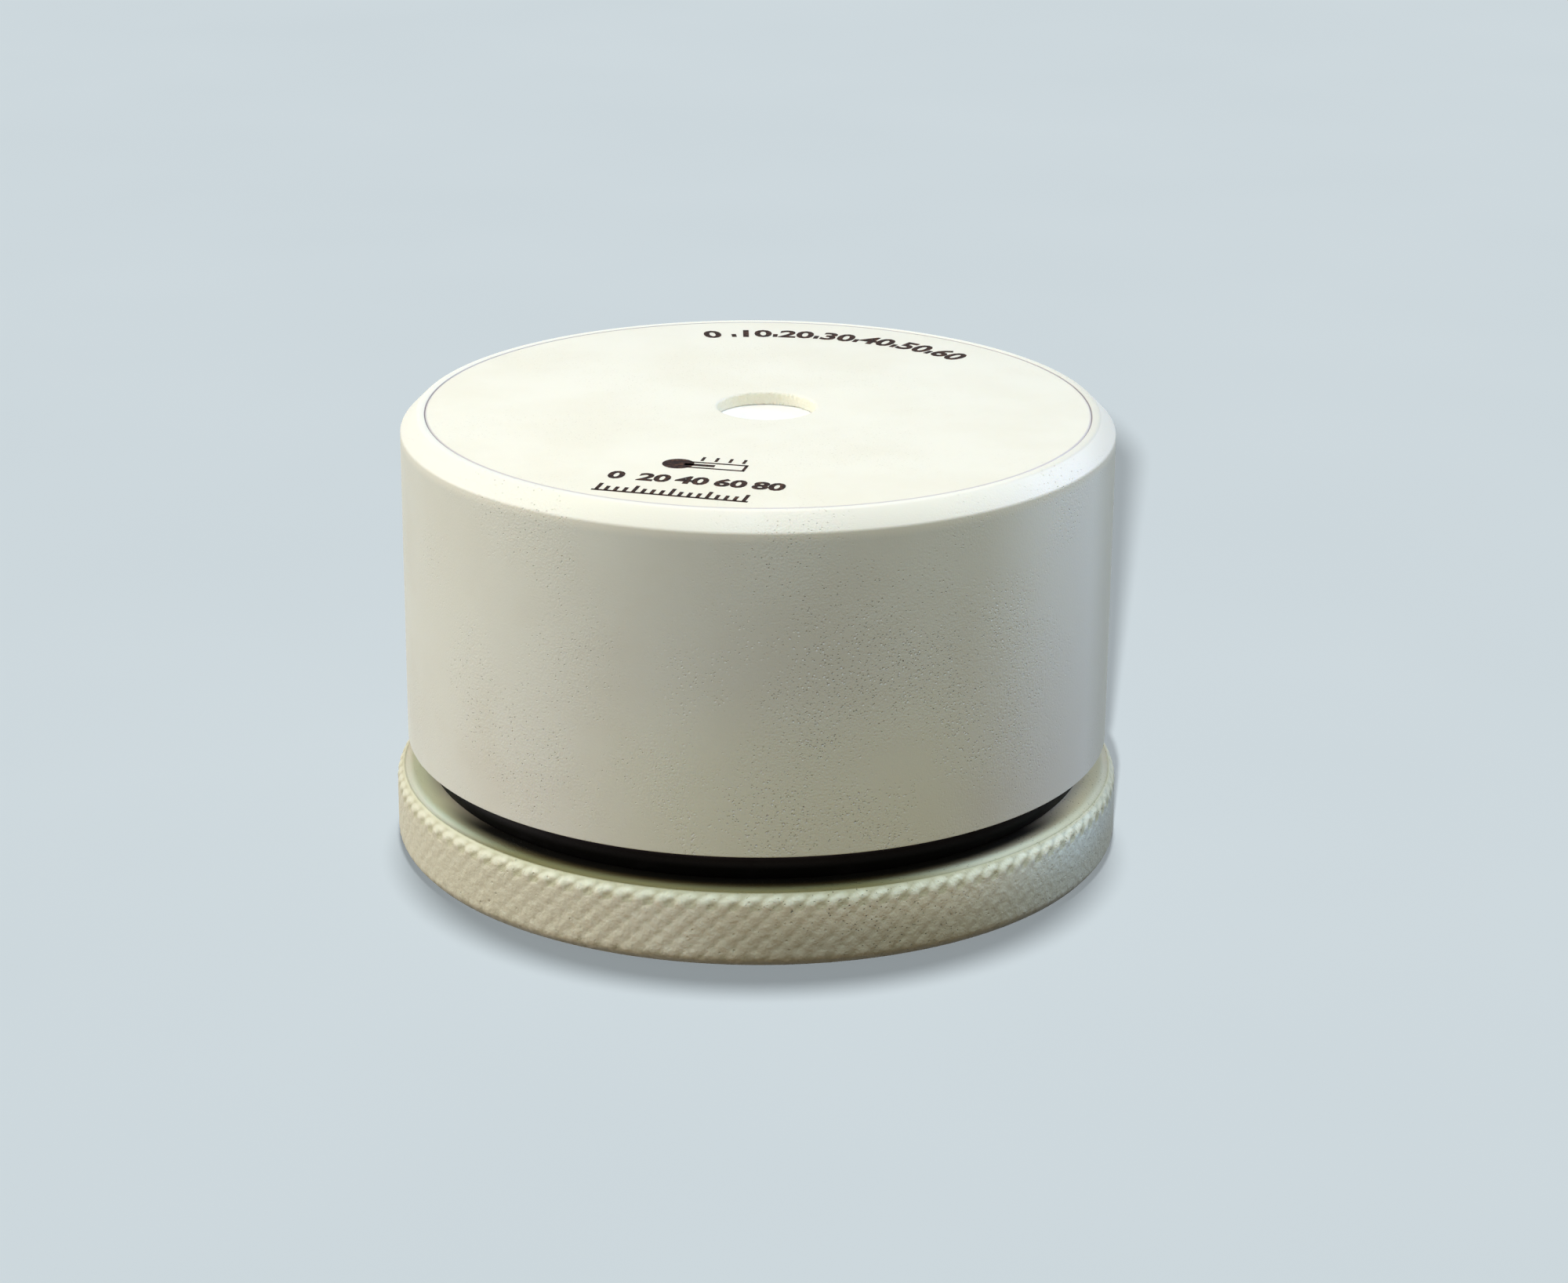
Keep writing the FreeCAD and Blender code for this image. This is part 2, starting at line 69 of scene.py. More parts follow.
def srgb(red: int, green: int, blue: int) -> Colour:
    """Turn a display colour into the linear colour that shaders take.

    Args:
        red: Red from 0 to 255.
        green: Green from 0 to 255.
        blue: Blue from 0 to 255.

    Returns:
        The linear colour, opaque.
    """

    def linear(level: int) -> float:
        """Return one channel, linear."""
        share = level / 255
        return share / 12.92 if share <= 0.04045 else ((share + 0.055) / 1.055) ** 2.4

    return linear(red), linear(green), linear(blue), 1.0


def along(value: float, start: float, end: float) -> float:
    """Return how far a value has come from start to end, from 0 to 1."""
    return min(1.0, max(0.0, (value - start) / (end - start)))


def soft_least(first: float, second: float, width: float) -> float:
    """Return the smaller of two lengths, rounded where they meet.

    Args:
        first: One length.
        second: The other length.
        width: How widely the corner is rounded.

    Returns:
        The smaller length.
    """
    low, high = min(first, second), max(first, second)
    return low - width * math.log(1 + math.exp(-(high - low) / width))


class Body(Enum):
    """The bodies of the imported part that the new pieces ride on."""

    BASE = "base"
    HOUSING = "housing"


class Lit(Enum):
    """What a lamp lights, with how the floor is linked to it."""

    OBJECT = "EXCLUDE"
    FLOOR = "INCLUDE"


class Pick(Enum):
    """What an edit-mode selection is made of."""

    POINTS = (True, False, False)
    EDGES = (False, True, False)
    FACES = (False, False, True)


class Bench:
    """A node tree, with short calls for the nodes that finishes share."""

    def __init__(self, owner: Any) -> None:
        """Empty the node tree of a material or a world.

        Args:
            owner: The material or world.
        """
        owner.use_nodes = True
        self.material = owner
        self.tree = owner.node_tree
        self.tree.nodes.clear()
        self.shader: Any = None
        self.colour: Any = None
        self.normal: Any = None

    @classmethod
    def paint(cls, name: str, colour: Colour) -> "Bench":
        """Start a material with one Principled shader.

        Args:
            name: The material's name.
            colour: Its ground colour.

        Returns:
            The bench.
        """
        bench = cls(bpy.data.materials.new(name))
        bench.colour = colour
        bench.shader = bench.add("ShaderNodeBsdfPrincipled")
        bench.add("ShaderNodeOutputMaterial", {"Surface": bench.shader.outputs["BSDF"]})
        return bench

    def add(
        self, kind: str, feeds: dict[Any, Any] | None = None, **settings: Any
    ) -> Any:
        """Add a node.

        Args:
            kind: The node's type name.
            feeds: What its input sockets get, by name or number.
            **settings: Properties to set on it.

        Returns:
            The new node.
        """
        node = self.tree.nodes.new(kind)
        for key, value in settings.items():
            setattr(node, key, value)
        for key, value in (feeds or {}).items():
            self.feed(node.inputs[key], value)
        return node

    def feed(self, socket: Any, value: Any) -> None:
        """Give a socket a link or a constant.

        Args:
            socket: The input socket.
            value: An output socket, or a number, colour or vector.
        """
        if isinstance(value, bpy.types.NodeSocket):
            self.tree.links.new(value, socket)
        else:
            socket.default_value = value

    @cached_property
    def place(self) -> Any:
        """The point on the piece in millimetres, from Object coordinates."""
        point = self.add("ShaderNodeTexCoord").outputs["Object"]
        return self.stretch((1 / MM, 1 / MM, 1 / MM), point)

    @cached_property
    def axes(self) -> tuple[Any, Any, Any]:
        """The point's three coordinates, in millimetres."""
        return tuple(self.add("ShaderNodeSeparateXYZ", {"Vector": self.place}).outputs)

    @cached_property
    def reach(self) -> Any:
        """The point's distance from the logger's axis, in millimetres."""
        across, deep, _ = self.axes
        squares = self.sum("ADD", self.times(across, across), self.times(deep, deep))
        return self.sum("SQRT", squares)

    def stretch(self, scale: tuple[float, ...], point: Any = None) -> Any:
        """Return a point with its axes scaled, or the point on the piece."""
        feeds = {"Vector": point or self.place, "Scale": scale}
        return self.add("ShaderNodeMapping", feeds).outputs["Vector"]

    def sum(self, way: str, first: Any, second: Any = 0.0) -> Any:
        """Return the result of a Math node's operation on one or two values."""
        feeds = {0: first, 1: second}
        return self.add("ShaderNodeMath", feeds, operation=way).outputs[0]

    def times(self, *shares: Any) -> Any:
        """Multiply shares.

        Args:
            *shares: Each an output socket, a number, or a tuple of what spread takes.

        Returns:
            The product.
        """
        product: Any = None
        for item in shares:
            share = self.spread(*item) if isinstance(item, tuple) else item
            product = share if product is None else self.sum("MULTIPLY", product, share)
        return product

    def spread(self, value: Any, low: float, high: float, soft: bool = True) -> Any:
        """Turn a value into a share that goes from 0 at low to 1 at high.

        Args:
            value: The value.
            low: Where the share is 0.
            high: Where the share is 1.
            soft: Whether the share eases in and out.

        Returns:
            The share's socket.
        """
        kind = "SMOOTHSTEP" if soft else "LINEAR"
        feeds = {"Value": value, "From Min": low, "From Max": high}
        node = self.add("ShaderNodeMapRange", feeds, interpolation_type=kind)
        return node.outputs["Result"]

    def level(self, share: Any, low: float, high: float) -> Any:
        """Return a number that goes from low to high as share goes from 0 to 1."""
        feeds = {"Value": share, "To Min": low, "To Max": high}
        return self.add("ShaderNodeMapRange", feeds).outputs["Result"]

    def noise(self, per_mm: float, detail: float = 3.0, where: Any = None) -> Any:
        """Return cloudy noise, by its features a millimetre and its finer layers."""
        feeds = {"Vector": where or self.place, "Scale": per_mm, "Detail": detail}
        return self.add("ShaderNodeTexNoise", feeds).outputs["Fac"]

    def cells(self, per_mm: float) -> Any:
        """Return the distance to the nearest of so many points a millimetre."""
        feeds = {"Vector": self.place, "Scale": per_mm}
        return self.add("ShaderNodeTexVoronoi", feeds).outputs["Distance"]

    def blend(self, share: Any, first: Any, second: Any) -> Any:
        """Mix two colours, with as much of the second as the share says."""
        feeds = {0: share, 6: first, 7: second}
        return self.add("ShaderNodeMix", feeds, data_type="RGBA").outputs[2]

    def lay(self, tint: Any, *shares: Any) -> None:
        """Lay a tint over the colour so far, as thickly as its shares' product says."""
        self.colour = self.blend(self.times(*shares), self.colour, tint)

    def emboss(self, height: Any, depth: float) -> None:
        """Add a relief to the surface so far.

        Args:
            height: The relief's height, from 0 to 1.
            depth: What a height of 1 stands for, in millimetres.
        """
        feeds = {"Height": height, "Distance": depth * MM}
        if self.normal is not None:
            feeds["Normal"] = self.normal
        self.normal = self.add("ShaderNodeBump", feeds).outputs["Normal"]

    def sink(self, share: Any, depth: float) -> None:
        """Sink the surface so far by a depth where the share is 1."""
        self.emboss(self.sum("SUBTRACT", 1.0, share), depth)

    def finish(self, **values: Any) -> Any:
        """Set the shader's sockets.

        Args:
            **values: What sockets get besides the colour and relief so far, by name,
                with underscores for spaces.

        Returns:
            The material.
        """
        values["Base_Color"] = self.colour
        if self.normal is not None:
            values["Normal"] = self.normal
        for key, value in values.items():
            self.feed(self.shader.inputs[key.replace("_", " ")], value)
        return self.material


@dataclass(frozen=True)
class Plastic:
    """White engineering plastic, turned on a lathe and held in hands since."""

    name: str
    tint: Colour
    shade: Colour
    rough: float = 0.42
    glow: float = 0.18
    specks: float = 1.0
    pit: Colour = srgb(150, 140, 118)
    fleck: Colour = srgb(250, 250, 246)

    def build(self) -> Any:
        """Return the material."""
        bench = Bench.paint(self.name, self.tint)
        bench.lay(self.shade, (bench.noise(0.11, 4.0), 0.35, 0.7))
        patches = bench.spread(bench.noise(0.09, 2.0), 0.42, 0.62)
        pits = bench.times((bench.cells(2.6), 0.2, 0.04), patches, self.specks)
        bench.lay(self.pit, pits, 0.55)
        flecks = bench.times((bench.cells(1.9), 0.14, 0.04), patches)
        bench.lay(self.fleck, flecks, 0.5 * self.specks)
        grain = bench.times(bench.noise(5.5, 3.0), bench.level(patches, 0.25, 1.0))
        bench.emboss(grain, 0.035)
        bench.sink(pits, 0.06)
        self.wear(bench)
        gloss = bench.noise(0.6, 3.0)
        return bench.finish(
            Roughness=bench.level(gloss, self.rough - 0.05, self.rough + 0.08),
            IOR=1.48,
            Subsurface_Weight=self.glow,
            Subsurface_Scale=0.8 * MM,
            Subsurface_Radius=(1.0, 0.85, 0.6),
        )

    def wear(self, bench: Bench) -> None:
        """Lay what use has left on a piece over the plain plastic; plain plastic has
        none.

        Args:
            bench: The material's bench; not used here.
        """


@dataclass(frozen=True)
class BarrelPlastic(Plastic):
    """The housing's plastic: a bright cut rim, and painted light and shade on the wall.
    """

    rim_level: float = 34.8
    recess_level: float = 35.05
    recess_reach: float = 27.0
    land_level: float = 36.0
    wall_foot: float = 10.0
    filter_reach: float = 5.4
    cut: Colour = srgb(249, 248, 238)
    darker_tint: Colour = srgb(205, 203, 190)
    wear_and_highlight: Colour = srgb(248, 243, 228)
    rim_right_shade: Colour = srgb(205, 206, 199)
    line: Colour = srgb(182, 176, 178)
    right_light: Colour = srgb(253, 254, 252)
    front_low_light: Colour = srgb(255, 255, 234)
    right_edge_shade: Colour = srgb(203, 199, 182)
    filter_white: Colour = srgb(255, 255, 255)
    dark_spot: Colour = srgb(162, 156, 138)
    bright_spot: Colour = srgb(255, 255, 252)

    def wear(self, bench: Bench) -> None:
        """Lay painted light and shade on the wall, then the rim, recess and sanded
        front.

        Args:
            bench: The material's bench.
        """
        across, _, height = bench.axes
        # Painted shade: the wall darkens towards the rim.
        bench.lay(self.darker_tint, (height, self.wall_foot, self.rim_level, False), 0.5)
        # Painted light on the right side of the wall.
        bench.lay(self.right_light, (across, 16.0, 23.5), 0.75)
        # Painted light low on the front of the wall.
        front = bench.times((across, -18.0, -3.0), (across, 20.0, 12.0))
        bench.lay(self.front_low_light, front, (height, 25.0, 11.0))
        # Painted shade along the wall's right edge.
        bench.lay(self.right_edge_shade, (across, 26.0, 29.0))
        self.rim(bench)
        self.recess(bench)
        lines = bench.noise(1.0, 2.0, bench.stretch((0.02, 0.02, 14.0)))
        bench.emboss(lines, 0.0025)
        self.sanded(bench)

    def rim(self, bench: Bench) -> None:
        """Lay the bright cut of the rim, with painted shade at the right and wear below
        it.

        Args:
            bench: The material's bench.
        """
        across, _, height = bench.axes
        edge = self.rim_level
        ragged = bench.level(bench.noise(1.6, 4.0), -0.09, 0.09)
        near = bench.sum("ADD", height, ragged)
        rim = bench.spread(near, edge - 0.3, edge + 0.1)
        bench.lay(self.cut, rim)
        land = (height, self.land_level, self.land_level + 0.1)
        # Painted shade on the right side of the land and the rim.
        bench.lay(self.rim_right_shade, land, (across, 14.0, 32.0), 0.55)
        bench.lay(self.rim_right_shade, rim, (across, 24.5, 28.0), 0.27)
        below, above = (near, edge - 0.9, edge - 0.2), (near, edge + 0.1, edge - 0.1)
        bench.lay(self.wear_and_highlight, below, above, 0.6)

    def recess(self, bench: Bench) -> None:
        """Lay the white filter at the port's foot and the recess's dark wall.

        Args:
            bench: The material's bench.
        """
        _, _, height = bench.axes
        floor, wall = self.recess_level, self.recess_reach
        inside = (bench.reach, self.filter_reach + 0.1, self.filter_reach)
        bench.lay(self.filter_white, inside, (height, floor - 0.1, floor - 0.05))
        inner = (bench.reach, wall - 2.0, wall - 0.5)
        outer = (bench.reach, wall + 0.15, wall + 0.07)
        bench.lay(self.line, inner, outer, (height, floor + 1.1, floor + 1.05))

    def sanded(self, bench: Bench) -> None:
        """Pit the wall's front, where it has scraped on things most.

        Args:
            bench: The material's bench.
        """
        across, deep, height = bench.axes
        zone = bench.times(
            (across, -10.0, -1.0),
            (across, 25.0, 17.0),
            (deep, -12.0, -18.0),
            (height, 31.0, 26.0),
            (bench.noise(0.16, 3.0), 0.38, 0.6),
        )
        for per_mm, tint, share in (
            (3.4, self.dark_spot, 0.55),
            (2.3, self.bright_spot, 1.0),
        ):
            spots = bench.times((bench.cells(per_mm), 0.26, 0.1), zone)
            bench.lay(tint, spots, share)
            bench.sink(spots, 0.04)


@dataclass(frozen=True)
class DiscPlastic(Plastic):
    """The inlaid disc's plastic, faced flat, with a greyer outer edge."""

    edge: float = 26.99
    port: float = 4.0
    top: float = 36.13
    darker_tint: Colour = srgb(205, 199, 203)
    drilled: Colour = srgb(247, 243, 224)

    def wear(self, bench: Bench) -> None:
        """Lay the greyer edge, the rough wall of the port and the facing's rings.

        Args:
            bench: The material's bench.
        """
        _, _, height = bench.axes
        # A greyer band along the disc's outer edge.
        bench.lay(self.darker_tint, (bench.reach, self.edge - 0.22, self.edge - 0.05))
        inside = bench.times(
            (bench.reach, self.port + 1.2, self.port + 1.0),
            (height, self.top - 0.02, self.top - 0.2),
        )
        bench.lay(self.drilled, inside, 0.8)
        feeds = {"Vector": bench.place, "Scale": 1.1, "Distortion": 0.6}
        rings = bench.add(
            "ShaderNodeTexWave", feeds, wave_type="RINGS", rings_direction="Z"
        )
        bench.emboss(rings.outputs["Fac"], 0.0012)
        bench.emboss(bench.times(bench.noise(5.0, 4.0), inside), 0.09)


@dataclass(frozen=True)
class KnurlPlastic(Plastic):
    """The base's plastic, with soil in the knurl, a scuffed foot, and painted light,
    shade and highlights.
    """

    teeth: int = 112
    tooth_pitch: float = 1.683
    highlight_level: float = 5.48
    flange_top: float = 6.0
    soil: Colour = srgb(182, 177, 137)
    # Painted shade tint for the flange face under the housing.
    film: Colour = srgb(152, 137, 88)
    seal_shadow: Colour = srgb(12, 9, 3)
    scuff: Colour = srgb(156, 149, 122)
    wear_and_highlight: Colour = srgb(252, 249, 228)
    left_knurl_shade: Colour = srgb(219, 211, 187)
    left_face_light: Colour = srgb(254, 249, 226)
    right_cool_light: Colour = srgb(226, 235, 233)
    shaded: Colour = srgb(190, 192, 184)
    shade_from: tuple[float, float] = (-0.19, -0.98)

    def wear(self, bench: Bench) -> None:
        """Lay painted light, shade and highlights, the soil of the knurl, and scuffs.

        Args:
            bench: The material's bench.
        """
        (across, _, height), reach = bench.axes, bench.reach
        below = bench.spread(height, 5.95, 5.75)
        # Painted light and shade on the left: the face lighter, the teeth darker and
        # warmer.
        side = bench.blend(below, self.left_face_light, self.left_knurl_shade)
        bench.lay(side, (across, -6.0, -24.0))
        # Painted cool light on the teeth at the right.
        bench.lay(self.right_cool_light, (across, 14.0, 27.0), below)
        bench.lay(self.shaded, (across, 25.5, 29.5), bench.level(below, 0.55, 1.0))
        hollows = bench.times((reach, 29.94, 29.89), (reach, 29.2, 29.4))
        uneven = bench.level(bench.noise(0.35, 4.0), 0.2, 0.9)
        bench.lay(self.soil, (height, 0.35, 0.9), hollows, uneven)
        # Painted highlights on the upper ends of the teeth.
        bench.lay(self.wear_and_highlight, self.tooth_highlight(bench), 0.95)
        self.paint_seal_shade(bench)
        ragged = bench.level(bench.noise(1.2, 5.0), -1.5, 1.5)
        foot = (bench.sum("ADD", height, ragged), 1.1, 0.2)
        bench.lay(self.scuff, foot, (reach, 28.6, 29.3), 0.5)
        bench.lay(self.scuff, (height, 4.6, 1.6), (across, -9.0, 7.0), below, 0.55)
        wall = bench.spread(reach, 29.0, 29.5)
        patches = bench.spread(bench.noise(0.12, 2.0), 0.42, 0.6)
        nicks = bench.times((bench.cells(1.1), 0.15, 0.05), wall, patches)
        bench.lay(self.scuff, nicks, 0.4)
        bench.emboss(bench.times(bench.noise(2.0, 6.0), wall), 0.11)
        bench.sink(nicks, 0.04)

    def tooth_highlight(self, bench: Bench) -> Any:
        """Return how strongly highlights are painted on the upper ends of the teeth.

        Args:
            bench: The material's bench.

        Returns:
            The share's socket.
        """
        across, deep, height = bench.axes
        turn = bench.sum("ARCTAN2", deep, across)
        tooth = bench.times(turn, self.teeth / FULL_TURN)
        rise = bench.times(height, 1 / self.tooth_pitch)
        tooth = bench.sum("SUBTRACT", bench.sum("SUBTRACT", tooth, rise), 0.5)
        aside = bench.times(bench.sum("PINGPONG", tooth, 0.5), 1.6)
        above = bench.times(bench.sum("SUBTRACT", height, self.highlight_level), 1.9)
        squares = bench.sum("ADD", bench.times(aside, aside), bench.times(above, above))
        return bench.times(
            (squares, 0.9, 0.0),
            bench.level(bench.spread(across, 24.0, 29.0), 1.0, 0.3),
            bench.level(bench.spread(across, -11.0, -23.0), 1.0, 0.6),
            (bench.reach, 29.2, 29.3),
        )

    def paint_seal_shade(self, bench: Bench) -> None:
        """Paint the shade and shadow of the housing on the flange face round the seal,
        darkest in front.

        Args:
            bench: The material's bench.
        """
        across, deep, height = bench.axes
        right, back = self.shade_from
        towards = bench.sum("ADD", bench.times(across, right), bench.times(deep, back))
        level = self.flange_top
        face = bench.times((height, level - 0.12, level - 0.02), (height, 9.5, 8.8))
        front = bench.times((towards, 17.0, 26.0), face)
        # Painted shade of the housing on the flange face: an olive tint over it, a
        # near-black shadow towards the seal, strongest in front.
        bench.lay(self.film, (bench.reach, 29.55, 29.3), front, 0.95)
        bench.lay(self.seal_shadow, (bench.reach, 29.0, 27.3), (deep, -10.0, -17.0), face)


@dataclass(frozen=True)
class Rubber:
    """Black moulded rubber with some dust, and a faint painted sheen and purple
    reflection along its top.
    """

    name: str = "seal_rubber"
    reflection_level: float = 8.15
    tint: Colour = srgb(6, 5, 4)
    dust: Colour = srgb(24, 21, 24)
    upper_sheen: Colour = srgb(48, 42, 42)
    top_reflection: Colour = srgb(55, 46, 54)
    left_purple_reflection: Colour = srgb(64, 50, 74)

    def build(self) -> Any:
        """Return the material."""
        bench = Bench.paint(self.name, self.tint)
        across, _, height = bench.axes
        level = self.reflection_level
        dust = bench.spread(bench.noise(0.5, 5.0), 0.5, 0.8)
        bench.lay(self.dust, dust, 0.3)
        # Painted sheen on the ring's upper half.
        bench.lay(self.upper_sheen, (height, level - 1.05, level - 0.25), 0.25)
        # Painted reflection along the ring's top, purple towards the left.
        top_reflection = bench.blend(bench.spread(across, -7.0, -20.0), self.top_reflection, self.left_purple_reflection)
        bench.lay(top_reflection, (height, level - 0.35, level))
        bench.emboss(bench.noise(4.0, 3.0), 0.01)
        rough = bench.level(dust, 0.55, 0.75)
        return bench.finish(Roughness=rough, Specular_IOR_Level=0.05)


@dataclass(frozen=True)
class Ink:
    """Dark brown-black marking ink, a little broken at its edges."""

    name: str = "marking_ink"
    tint: Colour = srgb(34, 20, 18)
    faded: Colour = srgb(92, 64, 50)

    def build(self) -> Any:
        """Return the material."""
        bench = Bench.paint(self.name, self.tint)
        bench.lay(self.faded, (bench.noise(2.6, 4.0), 0.45, 0.75))
        bench.emboss(bench.noise(5.0, 3.0), 0.01)
        return bench.finish(Roughness=0.8, Specular_IOR_Level=0.2)


@dataclass(frozen=True)
class TwoTone:
    """A finish whose two tones lie in clouds over a fine grain.

    Clouds and grain are each given by their features a millimetre and their finer
    layers, and the grain may be stretched to run one way.
    """

    name: str
    tint: Colour
    shade: Colour
    rough: float = 0.5
    rough_span: tuple[float, float] = (0.0, 0.2)
    rough_in_grain: bool = False
    clouds: tuple[float, float] = (0.5, 4.0)
    cloud_edge: tuple[float, float] = (0.4, 0.75)
    grain: tuple[float, float] = (1.4, 3.0)
    grain_run: tuple[float, float, float] = (1.0, 1.0, 1.0)
    grain_depth: float = 0.006
    sockets: tuple[tuple[str, float], ...] = ()

    def build(self) -> Any:
        """Return the material."""
        bench = Bench.paint(self.name, self.tint)
        clouds = bench.spread(bench.noise(*self.clouds), *self.cloud_edge)
        grain = bench.noise(*self.grain, bench.stretch(self.grain_run))
        bench.lay(self.shade, clouds)
        bench.emboss(grain, self.grain_depth)
        low, high = (self.rough + step for step in self.rough_span)
        rough = bench.level(grain if self.rough_in_grain else clouds, low, high)
        return bench.finish(Roughness=rough, **dict(self.sockets))


@dataclass(frozen=True)
class Metal(TwoTone):
    """Plated, drawn or stamped metal with fine scratches."""

    rough: float = 0.28
    grain_run: tuple[float, float, float] = (0.2, 4.0, 0.2)
    sockets: tuple[tuple[str, float], ...] = (("Metallic", 1.0),)


@dataclass(frozen=True)
class Moulded(TwoTone):
    """Moulded resin, rubber or ceramic with a fine spark-eroded grain."""

    rough_span: tuple[float, float] = (-0.06, 0.1)
    rough_in_grain: bool = True
    clouds: tuple[float, float] = (0.45, 4.0)
    cloud_edge: tuple[float, float] = (0.35, 0.7)
    grain: tuple[float, float] = (6.0, 3.0)
    grain_depth: float = 0.012


@dataclass(frozen=True)
class Milky(Moulded):
    """Moulded plastic or silicone that light enters a little."""

    sockets: tuple[tuple[str, float], ...] = (
        ("Subsurface_Weight", 0.1),
        ("Subsurface_Scale", 0.5 * MM),
    )


@dataclass(frozen=True)
class Windings(TwoTone):
    """Enamelled copper wire, laid turn on turn."""

    name: str = "coil_copper"
    tint: Colour = srgb(184, 96, 48)
    shade: Colour = srgb(142, 66, 32)
    rough: float = 0.25
    rough_span: tuple[float, float] = (0.0, 0.15)
    clouds: tuple[float, float] = (0.8, 3.0)
    cloud_edge: tuple[float, float] = (0.4, 0.7)
    grain: tuple[float, float] = (2.2, 1.0)
    grain_run: tuple[float, float, float] = (0.1, 0.1, 6.0)
    grain_depth: float = 0.05
    sockets: tuple[tuple[str, float], ...] = (
        ("Metallic", 0.85),
        ("Coat_Weight", 0.4),
        ("Coat_Roughness", 0.15),
    )


@dataclass(frozen=True)
class Glass(TwoTone):
    """Tinted glass of a small sealed switch."""

    name: str = "reed_glass"
    tint: Colour = srgb(120, 190, 160)
    shade: Colour = srgb(160, 214, 190)
    rough: float = 0.04
    rough_span: tuple[float, float] = (0.0, 0.06)
    clouds: tuple[float, float] = (0.9, 3.0)
    cloud_edge: tuple[float, float] = (0.3, 0.7)
    grain: tuple[float, float] = (1.0, 2.0)
    sockets: tuple[tuple[str, float], ...] = (
        ("Transmission_Weight", 0.7),
        ("IOR", 1.5),
    )


@dataclass(frozen=True)
class Laminate:
    """Green glass-fibre laminate with tracks under its solder mask."""

    name: str = "board_laminate"
    mask: Colour = srgb(22, 84, 52)
    weave: Colour = srgb(26, 92, 58)
    track: Colour = srgb(52, 132, 82)

    def build(self) -> Any:
        """Return the material."""
        bench = Bench.paint(self.name, self.mask)
        across = bench.noise(0.45, 0.0, bench.stretch((1.0, 5.0, 0.0)))
        length = bench.noise(0.45, 0.0, bench.stretch((5.0, 1.0, 0.0)))
        track = bench.sum(
            "MAXIMUM", bench.spread(across, 0.56, 0.6), bench.spread(length, 0.58, 0.62)
        )
        feeds = {"Vector": bench.place, "Scale": 4.0}
        bench.lay(self.weave, bench.add("ShaderNodeTexChecker", feeds).outputs["Fac"])
        bench.lay(self.track, track)
        bench.emboss(track, 0.03)
        rough = bench.level(track, 0.42, 0.3)
        return bench.finish(Roughness=rough, Coat_Weight=0.3, Coat_Roughness=0.2)


